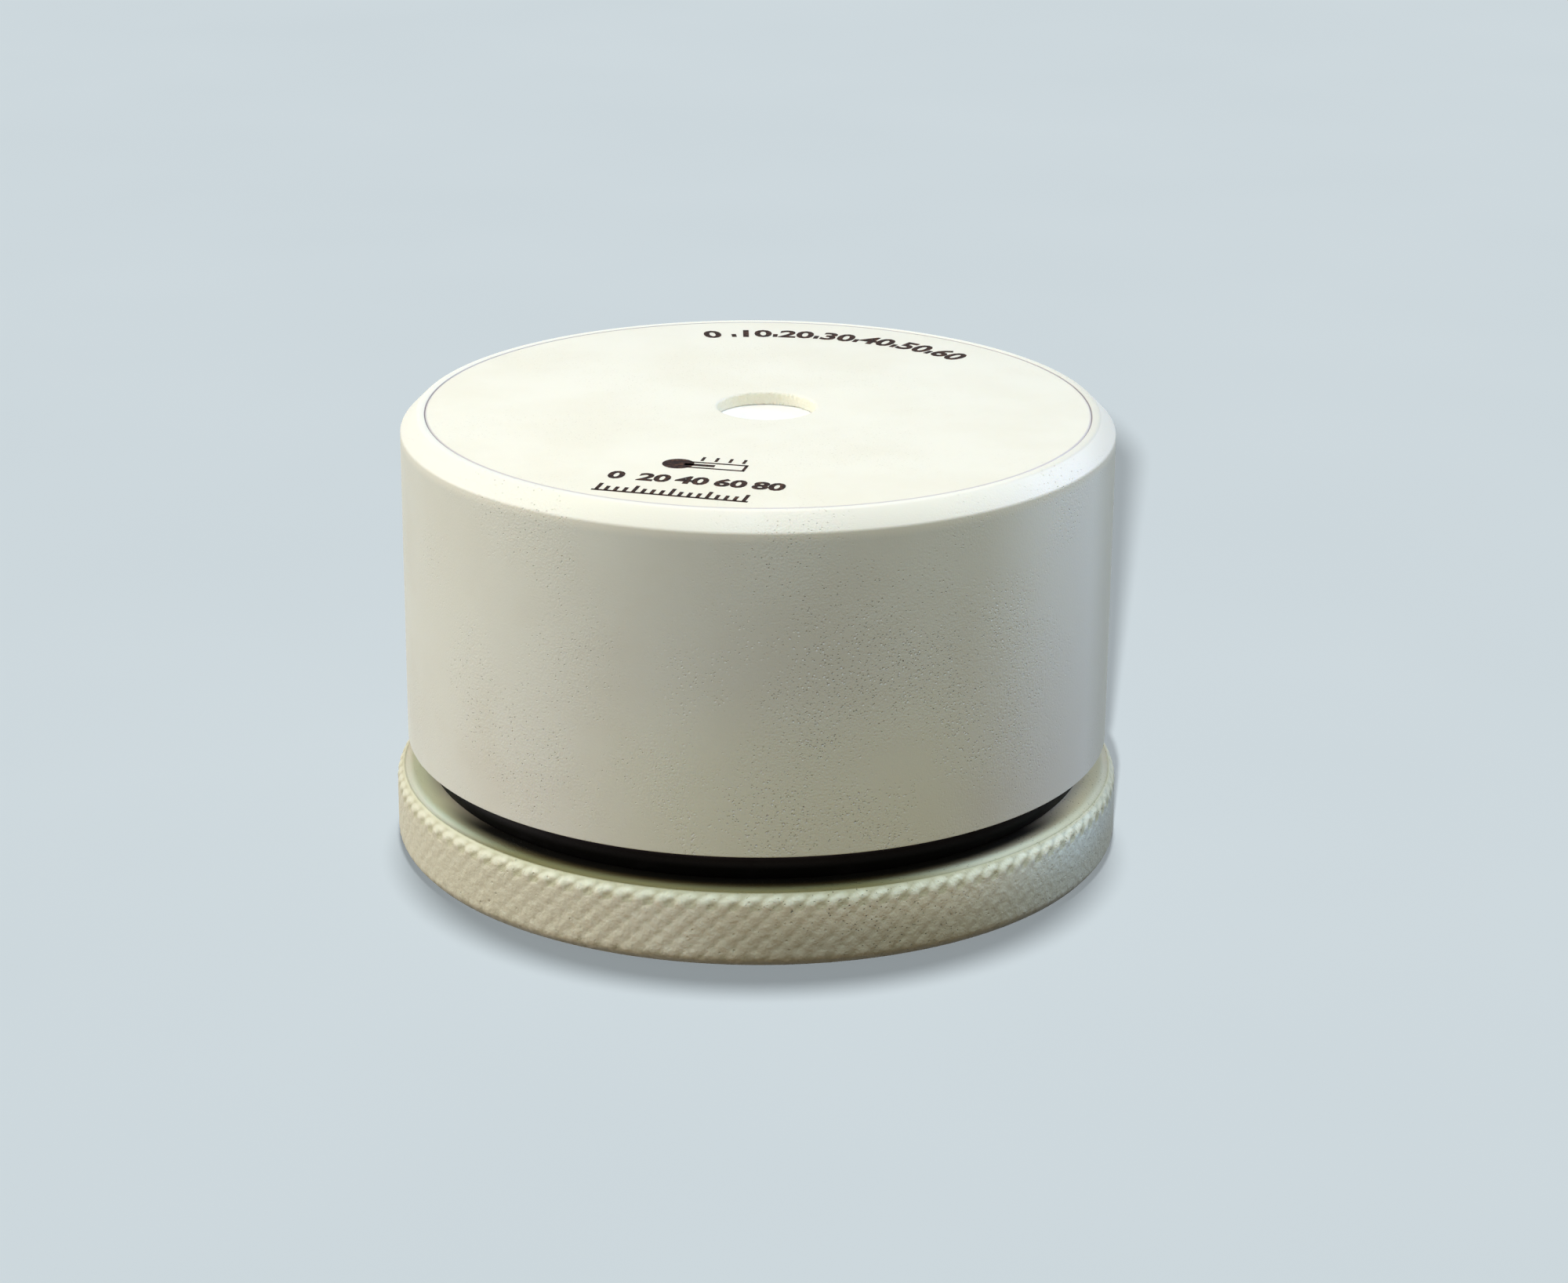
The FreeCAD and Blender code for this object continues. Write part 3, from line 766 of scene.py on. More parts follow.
class Workpiece:
    """A mesh piece on the bench: picked by place, stepped in edit mode, finished."""

    def __init__(self, obj: Any) -> None:
        """Take hold of a mesh object.

        Args:
            obj: The object.
        """
        self.obj = obj
        self.reach = 1.0

    @staticmethod
    def leave() -> None:
        """Go back to object mode."""
        bpy.ops.object.mode_set(mode="OBJECT")

    @classmethod
    def clear(cls) -> None:
        """Leave edit mode and deselect every object."""
        if bpy.context.object and bpy.context.object.mode != "OBJECT":
            cls.leave()
        bpy.ops.object.select_all(action="DESELECT")

    @classmethod
    def taken(cls, name: str) -> "Workpiece":
        """Take the active mesh object, with its place in its mesh.

        Args:
            name: The piece's name.

        Returns:
            The piece.
        """
        obj = bpy.context.object
        obj.name = obj.data.name = name
        bpy.ops.object.transform_apply(location=True, rotation=True, scale=True)
        return cls(obj)

    @classmethod
    def cylinder(
        cls,
        name: str,
        radius: float,
        low: float,
        high: float,
        sides: int,
        at: tuple[float, float] = (0.0, 0.0),
    ) -> "Workpiece":
        """Add an upright cylinder.

        Args:
            name: The piece's name.
            radius: Its radius.
            low: The level of its foot.
            high: The level of its top.
            sides: How many sides it has.
            at: Where its axis stands.

        Returns:
            The piece.
        """
        cls.clear()
        middle = (*at, (low + high) / 2)
        bpy.ops.mesh.primitive_cylinder_add(
            vertices=sides, radius=radius, depth=high - low, location=middle
        )
        piece = cls.taken(name)
        piece.reach = radius
        return piece

    @classmethod
    def block(cls, name: str, low: Vector, high: Vector) -> "Workpiece":
        """Add a box between two corners.

        Args:
            name: The piece's name.
            low: The lowest corner.
            high: The highest corner.

        Returns:
            The piece.
        """
        cls.clear()
        bpy.ops.mesh.primitive_cube_add(
            size=1.0, location=(low + high) / 2, scale=high - low
        )
        return cls.taken(name)

    def hold(self) -> None:
        """Make this the one selected, active object, in object mode."""
        self.clear()
        bpy.context.view_layer.objects.active = self.obj
        self.obj.select_set(True)

    def open_all(self) -> None:
        """Enter edit mode with all of the piece selected."""
        self.hold()
        bpy.ops.object.mode_set(mode="EDIT")
        bpy.ops.mesh.select_all(action="SELECT")

    def pick(self, kind: Pick, test: Callable[[Vector, Vector], bool]) -> None:
        """Enter edit mode with what passes a test selected.

        Args:
            kind: Whether points, edges or faces are picked.
            test: Takes a place and a normal, and says whether it is picked. An edge
                is picked where both its ends pass.
        """
        self.hold()
        bpy.context.tool_settings.mesh_select_mode = kind.value
        mesh = self.obj.data
        for part in (mesh.vertices, mesh.edges, mesh.polygons):
            part.foreach_set("select", [False] * len(part))
        if kind is Pick.FACES:
            for face in mesh.polygons:
                face.select = test(face.center, face.normal)
        else:
            for point in mesh.vertices:
                point.select = test(point.co, point.normal)
        if kind is Pick.EDGES:
            for edge in mesh.edges:
                edge.select = all(mesh.vertices[i].select for i in edge.vertices)
        bpy.ops.object.mode_set(mode="EDIT")

    def pick_face(self, level: float, up: bool) -> None:
        """Pick the flat faces at a level that look up, or else down."""
        way = 1 if up else -1
        self.pick(
            Pick.FACES,
            lambda centre, normal: normal.z * way > UPRIGHT
            and abs(centre.z - level) < NEAR,
        )

    def pick_edge(self, level: float) -> None:
        """Pick the edges that lie at a level."""
        self.pick(Pick.EDGES, lambda place, normal: abs(place.z - level) < NEAR)

    def turn(
        self,
        to: float | None = None,
        rise: float = 0.0,
        axis: tuple[float, float] = (0.0, 0.0),
    ) -> "Workpiece":
        """Extrude the picked round face or edge, then scale it to a new radius.

        Args:
            to: The new radius, or None to keep the old one.
            rise: How far up it goes.
            axis: Where its axis stands.

        Returns:
            The piece.
        """
        bpy.ops.mesh.extrude_region_move(
            TRANSFORM_OT_translate={"value": (0, 0, rise)}
        )
        if to is not None:
            share = to / self.reach
            bpy.ops.transform.resize(
                value=(share, share, 1.0), center_override=(*axis, 0.0)
            )
            self.reach = to
        return self

    def close_pole(self) -> None:
        """Extrude the picked ring inwards and merge it into one point."""
        bpy.ops.mesh.extrude_region_move(TRANSFORM_OT_translate={"value": (0, 0, 0)})
        bpy.ops.mesh.merge(type="CENTER")
        self.leave()

    def modify(self, kind: str, **settings: Any) -> "Workpiece":
        """Add a modifier and apply it.

        Args:
            kind: The modifier's type.
            **settings: Its properties.

        Returns:
            The piece.
        """
        self.hold()
        modifier = self.obj.modifiers.new(kind.title(), kind)
        for key, value in settings.items():
            setattr(modifier, key, value)
        bpy.ops.object.modifier_apply(modifier=modifier.name)
        return self

    def soften(self, width: float, segments: int = 2, angle: float = 30) -> "Workpiece":
        """Round the edges that are sharper than an angle, in degrees."""
        return self.modify(
            "BEVEL",
            width=width,
            segments=segments,
            limit_method="ANGLE",
            angle_limit=math.radians(angle),
        )

    def carve(self, tool: "Workpiece") -> "Workpiece":
        """Cut another piece's shape out of this one, and remove that piece.

        Args:
            tool: The other piece.

        Returns:
            The piece.
        """
        self.modify("BOOLEAN", operation="DIFFERENCE", object=tool.obj, solver="EXACT")
        mesh = tool.obj.data
        bpy.data.objects.remove(tool.obj)
        bpy.data.meshes.remove(mesh)
        return self

    def join(self, others: list["Workpiece"]) -> "Workpiece":
        """Join other pieces into this one.

        Args:
            others: The other pieces.

        Returns:
            The piece.
        """
        self.hold()
        for other in others:
            other.obj.select_set(True)
        bpy.ops.object.join()
        return self

    def smooth(self, angle: float, merge: float = 0.002) -> None:
        """Merge doubles, face all outwards and shade smooth below an angle.

        Args:
            angle: Edges sharper than this stay sharp, in degrees.
            merge: How near points are merged, in millimetres.
        """
        self.open_all()
        bpy.ops.mesh.remove_doubles(threshold=merge * MM)
        bpy.ops.mesh.normals_make_consistent(inside=False)
        self.leave()
        bpy.ops.object.shade_smooth_by_angle(angle=math.radians(angle))

    def dress(
        self, finish: Plastic | Rubber | Ink, body: Body, stands_for: str = ""
    ) -> None:
        """Give the piece its finish and its place on the logger.

        Args:
            finish: Its finish, which is named as the slot that it stands in.
            body: The body that it rides on.
            stands_for: The solid's node that it replaces.
        """
        self.obj.data.materials.clear()
        self.obj.data.materials.append(finish.build())
        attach(self.obj, body.value)
        if stands_for:
            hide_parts(stands_for)
        LOG.info("%s: %d faces", self.obj.name, len(self.obj.data.polygons))


@dataclass
class Thread:
    """A single-start screw thread, as a ridge on a round wall."""

    wall: float
    tip: float
    low: float
    high: float
    start: float = 0.0
    pitch: float = 2.0 * MM
    foot_width: float = 1.3 * MM
    tip_width: float = 0.4 * MM
    steps_a_turn: int = 96
    faded_turns: float = 0.35
    end_height: float = 0.15
    section_points: int = 4

    def build(self, name: str) -> Workpiece:
        """Sweep the ridge's section up the helix and fade its ends.

        Args:
            name: The piece's name.

        Returns:
            The ridge.
        """
        ridge = self.section(name)
        rise = self.high - self.low
        turns = rise / self.pitch
        steps = round(self.steps_a_turn * turns)
        ridge.modify(
            "SCREW",
            angle=FULL_TURN * turns,
            screw_offset=rise,
            steps=steps,
            render_steps=steps,
            iterations=1,
        )
        ridge.open_all()
        bpy.ops.mesh.fill_holes(sides=0)
        ridge.leave()
        self.fade(ridge, turns)
        ridge.obj.rotation_euler = (0, 0, self.start)
        bpy.ops.object.transform_apply(location=True, rotation=True, scale=True)
        return ridge

    def section(self, name: str) -> Workpiece:
        """Draw the ridge's section at its lower end, as four edges with no face.

        Args:
            name: The piece's name.

        Returns:
            The section.
        """
        Workpiece.clear()
        bpy.ops.mesh.primitive_plane_add(size=1.0, rotation=(math.pi / 2, 0, 0))
        ridge = Workpiece.taken(name)
        outward = 1 if self.tip > self.wall else -1
        for point in ridge.obj.data.vertices:
            side = 1 if point.co.z > 0 else -1
            at_tip = point.co.x * outward > 0
            width = self.tip_width if at_tip else self.foot_width
            reach = self.tip if at_tip else self.wall
            point.co = (reach, 0.0, self.low + side * width / 2)
        ridge.pick(Pick.FACES, lambda centre, normal: True)
        bpy.ops.mesh.delete(type="ONLY_FACE")
        ridge.leave()
        return ridge

    def fade(self, ridge: Workpiece, turns: float) -> None:
        """Let the ridge sink into its wall at both ends.

        Args:
            ridge: The ridge, whose points lie section after section.
            turns: How many turns it makes.
        """
        points = ridge.obj.data.vertices
        last = len(points) // self.section_points - 1
        for index, point in enumerate(points):
            share = index // self.section_points / last
            height = self.low + share * (self.high - self.low)
            ease = min(1.0, min(share, 1 - share) * turns / self.faded_turns)
            reach = point.co.xy.length
            keep = self.wall + (reach - self.wall) * ease
            point.co.x *= keep / reach
            point.co.y *= keep / reach
            point.co.z = height + (point.co.z - height) * max(ease, self.end_height)


@dataclass
class KnurledBase:
    """The screw base: a flange with a diamond knurl, a threaded neck and a cup."""

    crest: float = 29.98 * MM
    height: float = 6.0 * MM
    bevel: float = 0.55 * MM
    teeth: int = 112
    columns: int = 8
    wall_rows: int = 30
    bevel_rows: int = 6
    main_groove: float = 0.045 * MM
    cross_groove: float = 0.034 * MM
    groove_curve: float = 1.3
    deeper_by: float = 0.07 * MM
    deeper_from: float = 4.4 * MM
    deeper_to: float = 5.3 * MM
    corner: float = 0.13 * MM
    weld: float = 0.006 * MM
    worn_from: float = 11.0 * MM
    worn_to: float = 25.0 * MM
    worn_low: float = 4.1 * MM
    worn_high: float = 4.9 * MM
    worn_right: float = 0.7
    worn_left: float = 0.5
    foot_rings: tuple[float, float] = (27.0 * MM, 12.0 * MM)
    face_ring: float = 27.6 * MM
    seat: float = 24.2 * MM
    seat_level: float = 2.0 * MM
    shoulder: float = 24.3 * MM
    shoulder_top: float = 8.45 * MM
    thread_root: float = 23.1 * MM
    thread_crest: float = 24.0 * MM
    thread_low: float = 9.3 * MM
    thread_high: float = 15.2 * MM
    thread_sunk: float = 0.05 * MM
    neck_top: float = 15.5 * MM
    lead: float = 0.6 * MM
    lead_in: float = 0.45 * MM
    cup: float = 20.0 * MM
    cup_floor: float = 2.5 * MM
    boss: float = 7.95 * MM
    boss_height: float = 1.2 * MM
    key_width: float = 3.2 * MM
    key_from: float = 18.0 * MM
    key_reach: float = 21.5 * MM
    key_foot: float = 2.501 * MM
    core_foot: float = 1.0 * MM
    core_edge: float = 0.12 * MM
    core_sides: int = 192

    def build(self) -> None:
        """Build the base and dress it."""
        flange = self.flange()
        ridge = Thread(
            self.thread_root - self.thread_sunk,
            self.thread_crest,
            self.thread_low,
            self.thread_high,
        )
        flange.join([self.core(), ridge.build("neck_thread")]).smooth(angle=34)
        tint, shade = srgb(243, 235, 213), srgb(236, 226, 200)
        finish = KnurlPlastic("base_plastic", tint, shade, rough=0.5, specks=1.6)
        flange.dress(finish, Body.BASE, "knurled_base")

    def flange(self) -> Workpiece:
        """Set the teeth round the flange and close its top and underside.

        Returns:
            The flange.
        """
        piece = self.tooth()
        piece.pick(Pick.FACES, lambda centre, normal: True)
        bpy.ops.mesh.spin(
            steps=self.teeth - 1,
            dupli=True,
            angle=FULL_TURN * (self.teeth - 1) / self.teeth,
            center=(0, 0, 0),
            axis=(0, 0, 1),
        )
        bpy.ops.mesh.select_all(action="SELECT")
        bpy.ops.mesh.remove_doubles(threshold=self.weld)
        piece.leave()
        piece.reach = self.crest - self.bevel
        piece.pick_edge(0.0)
        for reach in self.foot_rings:
            piece.turn(reach)
        piece.close_pole()
        piece.reach = self.crest - self.bevel
        piece.pick_edge(self.height)
        piece.turn(self.face_ring).turn(self.seat)
        piece.turn(rise=self.seat_level - self.height).close_pole()
        self.wear(piece)
        return piece

    def tooth(self) -> Workpiece:
        """Shape one tooth's strip of the knurled wall, from its foot to its top.

        Returns:
            The strip.
        """
        Workpiece.clear()
        bpy.ops.mesh.primitive_grid_add(
            x_subdivisions=self.columns,
            y_subdivisions=self.wall_rows + 2 * self.bevel_rows,
            size=1.0,
        )
        strip = Workpiece.taken("screw_base")
        for point in strip.obj.data.vertices:
            point.co = self.knurled_point(point.co.x + 0.5, point.co.y + 0.5)
        return strip

    def knurled_point(self, across: float, up: float) -> Vector:
        """Return the knurled wall's point for a place in one tooth's strip.

        Args:
            across: The share of the strip's width.
            up: The share of the rows, from the foot to the top.

        Returns:
            The point.
        """
        level = self.row_level(up)
        rise = level / (FULL_TURN * self.crest / self.teeth)
        main = math.sin(math.pi * across) ** self.groove_curve
        cross = abs(math.sin(math.pi * (across + 2 * rise))) ** self.groove_curve
        deeper = self.deeper_by * along(level, self.deeper_from, self.deeper_to)
        cut = (self.main_groove + deeper) * (1 - main)
        cut += (self.cross_groove + deeper) * (1 - cross)
        cone = self.crest - self.bevel + min(level, self.height - level)
        reach = soft_least(self.crest - cut, cone, self.corner)
        angle = FULL_TURN / self.teeth * (across + rise)
        return Vector((reach * math.cos(angle), reach * math.sin(angle), level))

    def row_level(self, up: float) -> float:
        """Return a row's level, with the rows closer together on the bevels.

        Args:
            up: The share of the rows below it.

        Returns:
            The level.
        """
        rows = self.wall_rows + 2 * self.bevel_rows
        row = up * rows
        if row < self.bevel_rows:
            return self.bevel * row / self.bevel_rows
        if row > rows - self.bevel_rows:
            return self.height - self.bevel * (rows - row) / self.bevel_rows
        share = (row - self.bevel_rows) / self.wall_rows
        return self.bevel + share * (self.height - 2 * self.bevel)

    def wear(self, piece: Workpiece) -> None:
        """Wear the knurl's teeth shallow towards the flange's sides.

        Args:
            piece: The flange.
        """
        flat = self.crest - self.main_groove / 2
        for point in piece.obj.data.vertices:
            level, reach = point.co.z, point.co.xy.length
            on_wall = self.bevel < level < self.height - self.bevel
            if not on_wall or reach < self.crest - MM:
                continue
            share = self.worn_right if point.co.x > 0 else self.worn_left
            share *= along(abs(point.co.x), self.worn_from, self.worn_to)
            share *= 1 - along(level, self.worn_low, self.worn_high)
            grown = (reach + (flat - reach) * share) / reach
            point.co.x *= grown
            point.co.y *= grown

    def core(self) -> Workpiece:
        """Turn the shoulder, neck and cup, and cut the keyway.

        Returns:
            The core.
        """
        foot, top = self.core_foot, self.shoulder_top
        core = Workpiece.cylinder(
            "base_core", self.shoulder, foot, top, self.core_sides
        )
        core.pick_face(top, up=True)
        core.turn(self.thread_root)
        core.turn(rise=self.neck_top - self.lead - top)
        core.turn(self.thread_root - self.lead_in, self.lead)
        core.turn(self.cup)
        core.turn(rise=self.cup_floor - self.neck_top)
        core.turn(self.boss)
        core.turn(rise=self.boss_height)
        keyway = Workpiece.block(
            "keyway_tool",
            Vector((self.key_from, -self.key_width / 2, self.key_foot)),
            Vector((self.key_reach, self.key_width / 2, self.neck_top + MM)),
        )
        return core.carve(keyway).soften(self.core_edge)


@dataclass
class Seal:
    """The rubber ring between base and housing, squeezed flat where it seats."""

    middle: float = 25.95 * MM
    section: float = 1.55 * MM
    low: float = 6.0 * MM
    high: float = 8.75 * MM
    squeezed: float = 0.02 * MM
    flash: float = 0.05 * MM
    flash_reach: float = 0.06 * MM
    flash_width: float = 0.4 * MM
    flash_inset: float = 0.12 * MM
    segments: tuple[int, int] = (192, 28)

    def build(self) -> None:
        """Build the ring and dress it."""
        centre = (self.low + self.high) / 2
        half = (self.high - self.low) / 2
        Workpiece.clear()
        bpy.ops.mesh.primitive_torus_add(
            major_radius=self.middle,
            minor_radius=self.section - self.flash,
            major_segments=self.segments[0],
            minor_segments=self.segments[1],
            location=(0, 0, centre),
        )
        ring = Workpiece.taken("seal_ring")
        limit = half - self.squeezed
        for side in (-1, 1):
            ring.pick(
                Pick.POINTS, lambda place, normal: (place.z - centre) * side > limit
            )
            level = centre + side * half
            bpy.ops.transform.resize(value=(1, 1, 0), center_override=(0, 0, level))
        outer = self.middle + self.section - self.flash
        ring.pick(
            Pick.FACES,
            lambda place, normal: place.xy.length > outer - self.flash_reach
            and abs(place.z - centre) < self.flash_width,
        )
        bpy.ops.mesh.inset(thickness=self.flash_inset, depth=self.flash)
        ring.smooth(angle=60)
        ring.dress(Rubber(), Body.BASE, "main_o_ring")


@dataclass
class Housing:
    """The barrel: a bevelled rim, a recess for the disc, a threaded mouth."""

    radius: float = 29.0 * MM
    foot: float = 8.75 * MM
    rim: float = 34.8 * MM
    top: float = 36.15 * MM
    rim_reach: float = 27.65 * MM
    recess: float = 27.0 * MM
    recess_floor: float = 35.05 * MM
    port: float = 4.0 * MM
    bore: float = 24.3 * MM
    bore_top: float = 16.75 * MM
    thread_tip: float = 23.35 * MM
    thread_low: float = 9.1 * MM
    thread_high: float = 16.2 * MM
    thread_sunk: float = 0.05 * MM
    thread_start: float = math.pi * 0.8
    cavity: float = 24.9 * MM
    ceiling: float = 33.05 * MM
    pocket_top: float = 34.25 * MM
    edge: float = 0.13 * MM
    boss: float = 3.1 * MM
    boss_ring: float = 21.2 * MM
    boss_foot: float = 26.4 * MM
    boss_sunk: float = 0.2 * MM
    boss_edge: float = 0.15 * MM
    boss_sides: int = 40
    pilot: float = 1.25 * MM
    pilot_depth: float = 5.0 * MM
    sides: int = 256
    boss_angles: tuple[float, ...] = (90, 210, 330)

    def build(self) -> None:
        """Build the barrel and dress it."""
        barrel = self.barrel()
        parts = [self.screw_boss(math.radians(angle)) for angle in self.boss_angles]
        ridge = Thread(
            self.bore + self.thread_sunk,
            self.thread_tip,
            self.thread_low,
            self.thread_high,
            self.thread_start,
        )
        barrel.join([*parts, ridge.build("mouth_thread")]).smooth(angle=24)
        tint, shade = srgb(247, 246, 236), srgb(241, 238, 226)
        finish = BarrelPlastic("housing_plastic", tint, shade)
        barrel.dress(finish, Body.HOUSING, "housing_shell")

    def barrel(self) -> Workpiece:
        """Turn the barrel inside and out.

        Returns:
            The barrel.
        """
        barrel = Workpiece.cylinder(
            "barrel", self.radius, self.foot, self.rim, self.sides
        )
        barrel.pick_face(self.rim, up=True)
        barrel.turn(self.rim_reach, self.top - self.rim)
        barrel.turn(self.recess)
        barrel.turn(rise=self.recess_floor - self.top)
        barrel.turn(self.port)
        barrel.reach = self.radius
        barrel.pick_face(self.foot, up=False)
        barrel.turn(self.bore)
        barrel.turn(rise=self.bore_top - self.foot)
        barrel.turn(self.cavity)
        barrel.turn(rise=self.ceiling - self.bore_top)
        barrel.turn(self.port)
        barrel.turn(rise=self.pocket_top - self.ceiling)
        return barrel.soften(self.edge, segments=3, angle=24)

    def screw_boss(self, angle: float) -> Workpiece:
        """Build one boss that takes a board screw.

        Args:
            angle: Where it stands round the axis, in radians.

        Returns:
            The boss.
        """
        at = (self.boss_ring * math.cos(angle), self.boss_ring * math.sin(angle))
        top = self.ceiling + self.boss_sunk
        boss = Workpiece.cylinder(
            "screw_boss", self.boss, self.boss_foot, top, self.boss_sides, at
        )
        boss.pick_face(self.boss_foot, up=False)
        boss.turn(self.pilot, axis=at).turn(rise=self.pilot_depth)
        return boss.soften(self.boss_edge)


@dataclass
class TopDisc:
    """The inlaid disc with the sensor port in its middle."""

    radius: float = 26.99 * MM
    low: float = 35.05 * MM
    top: float = 36.13 * MM
    edge: float = 0.14 * MM
    port: float = 4.0 * MM
    port_margin: float = 0.4 * MM
    port_cuts: int = 3
    port_shift: tuple[float, float] = (0.65 * MM, 0.6 * MM)
    rough_reach: float = 4.2 * MM
    rough_depth: float = 0.08 * MM
    sides: int = 256
    seed: int = 7

    def build(self) -> None:
        """Build the disc and dress it."""
        disc = Workpiece.cylinder("disc", self.radius, self.low, self.top, self.sides)
        for level, up in ((self.top, True), (self.low, False)):
            disc.reach = self.radius
            disc.pick_face(level, up)
            disc.turn(self.port + self.port_margin).turn(self.port)
        disc.pick(
            Pick.FACES,
            lambda place, normal: place.xy.length < MM and abs(normal.z) > UPRIGHT,
        )
        bpy.ops.mesh.bridge_edge_loops(number_cuts=self.port_cuts)
        disc.leave()
        disc.soften(self.edge, segments=3, angle=40)
        self.set_port(disc)
        self.roughen(disc)
        disc.smooth(angle=30)
        tint, shade = srgb(245, 243, 231), srgb(241, 238, 224)
        finish = DiscPlastic("disc_plastic", tint, shade, 0.4, glow=0.15, specks=0.5)
        disc.dress(finish, Body.HOUSING, "top_disc")

    def set_port(self, disc: Workpiece) -> None:
        """Move the port a little off the middle, as it was drilled.

        Args:
            disc: The disc.
        """
        edge = self.port + 1.5 * self.port_margin
        disc.pick(Pick.POINTS, lambda place, normal: place.xy.length < edge)
        bpy.ops.transform.translate(value=(*self.port_shift, 0))
        disc.leave()

    def roughen(self, disc: Workpiece) -> None:
        """Leave the port's wall as rough as its drill left it.

        Args:
            disc: The disc.
        """
        chance = random.Random(self.seed)
        middle = Vector(self.port_shift)
        for point in disc.obj.data.vertices:
            out = point.co.xy - middle
            if out.length < self.rough_reach:
                shift = out.normalized() * chance.uniform(0, self.rough_depth)
                point.co.x += shift.x
                point.co.y += shift.y


@dataclass(frozen=True)
class Axes:
    """A spot on the disc with its own axes, for laying marks."""

    x: float
    y: float
    turn: float

    def at(self, across: float, up: float) -> Vector:
        """Return the disc's point for a place on these axes.

        Args:
            across: How far along the first axis.
            up: How far along the second axis.

        Returns:
            The point.
        """
        turned = math.radians(self.turn)
        cosine, sine = math.cos(turned), math.sin(turned)
        return Vector(
            (self.x + across * cosine - up * sine, self.y + across * sine + up * cosine)
        )


@dataclass
class DialMarks:
    """Plain numbers, ticks and a small thermometer printed on the disc."""

    face: float = 36.13 * MM
    film: float = 0.018 * MM
    bold: float = 0.1 * MM
    curve_steps: int = 3
    arc_reach: float = 22.1 * MM
    arc_from: float = 100.0
    arc_to: float = 45.5
    arc_numbers: tuple[str, ...] = ("0", "10", "20", "30", "40", "50", "60")
    arc_size: float = 3.0 * MM
    arc_tick: tuple[float, float] = (0.4 * MM, 0.9 * MM)
    row: Axes = Axes(-5.2 * MM, -20.9 * MM, -13.5)
    row_numbers: tuple[str, ...] = ("0", "20", "40", "60", "80")
    row_size: float = 2.5 * MM
    row_step: float = 3.0 * MM
    ruler: Axes = Axes(-6.7 * MM, -23.9 * MM, -14.5)
    ruler_step: float = 0.72 * MM
    ruler_ticks: int = 17
    ruler_tick: float = 0.3 * MM
    ruler_line: float = 0.28 * MM
    tall_tick: float = 1.7 * MM
    short_tick: float = 1.1 * MM
    ticks_a_number: int = 4
    picture: Axes = Axes(-3.9 * MM, -15.6 * MM, -13.0)
    picture_strokes: tuple[tuple[float, float, float, float], ...] = (
        (0.9, 0.1, 4.6, 0.24),
        (0.9, -1.3, 4.6, 0.24),
        (3.1, -0.6, 0.24, 1.6),
        (-0.5, -0.6, 2.4, 0.5),
        (-0.6, 1.05, 0.24, 1.0),
        (0.5, 1.05, 0.24, 1.0),
        (1.6, 1.05, 0.24, 1.0),
        (2.7, 1.05, 0.24, 1.0),
    )
    bulb: float = 1.25 * MM
    bulb_at: tuple[float, float] = (-2.2 * MM, -0.6 * MM)
    bulb_sides: int = 32

    def build(self) -> None:
        """Build all marks as one printed piece and dress it."""
        marks = [*self.arc(), *self.gauge(), *self.thermometer()]
        piece = marks[0].join(marks[1:])
        piece.obj.name = piece.obj.data.name = "dial_marks"
        piece.smooth(angle=20, merge=0.0005)
        piece.dress(Ink(), Body.HOUSING)

    def settle(self, at: Vector, angle: float) -> Workpiece:
        """Lay the active flat mark on the disc.

        Args:
            at: Where its own origin goes.
            angle: How it is turned, in degrees.

        Returns:
            The mark.
        """
        obj = bpy.context.object
        obj.location = (at.x, at.y, self.face + self.film / 2)
        obj.rotation_euler = (0, 0, math.radians(angle))
        return Workpiece.taken("mark")

    def number(self, text: str, at: Vector, angle: float, size: float) -> Workpiece:
        """Print a number.

        Args:
            text: Its digits.
            at: Where the middle of its foot goes.
            angle: How it is turned, in degrees.
            size: Its size.

        Returns:
            The number.
        """
        Workpiece.clear()
        bpy.ops.object.text_add(location=(0, 0, 0))
        curve = bpy.context.object.data
        curve.body = text
        curve.size = size
        curve.align_x = "CENTER"
        curve.extrude = self.film / 2
        curve.offset = self.bold
        curve.resolution_u = self.curve_steps
        bpy.ops.object.convert(target="MESH")
        return self.settle(at, angle)

    def stroke(self, at: Vector, angle: float, wide: float, tall: float) -> Workpiece:
        """Print a straight stroke.

        Args:
            at: Its middle.
            angle: How it is turned, in degrees.
            wide: Its width.
            tall: Its height.

        Returns:
            The stroke.
        """
        Workpiece.clear()
        bpy.ops.mesh.primitive_cube_add(size=1.0)
        bpy.context.object.scale = (wide, tall, self.film)
        bpy.ops.object.transform_apply(location=True, rotation=True, scale=True)
        return self.settle(at, angle)

    def arc(self) -> list[Workpiece]:
        """Print the numbers and ticks along the disc's rear edge.

        Returns:
            Its marks.
        """
        marks = []
        steps = len(self.arc_numbers) - 1
        step = (self.arc_to - self.arc_from) / steps
        wide, tall = self.arc_tick
        for index, text in enumerate(self.arc_numbers):
            angle = self.arc_from + step * index
            spot = self.on_arc(angle)
            marks.append(self.number(text, spot.at(0, 0), spot.turn, self.arc_size))
            if index < steps:
                spot = self.on_arc(angle + step / 2)
                marks.append(self.stroke(spot.at(0, tall / 2), spot.turn, wide, tall))
        return marks

    def on_arc(self, angle: float) -> Axes:
        """Return the axes of a mark on the rear arc, at an angle in degrees."""
        turned = math.radians(angle)
        x, y = self.arc_reach * math.cos(turned), self.arc_reach * math.sin(turned)
        return Axes(x, y, angle - 90)

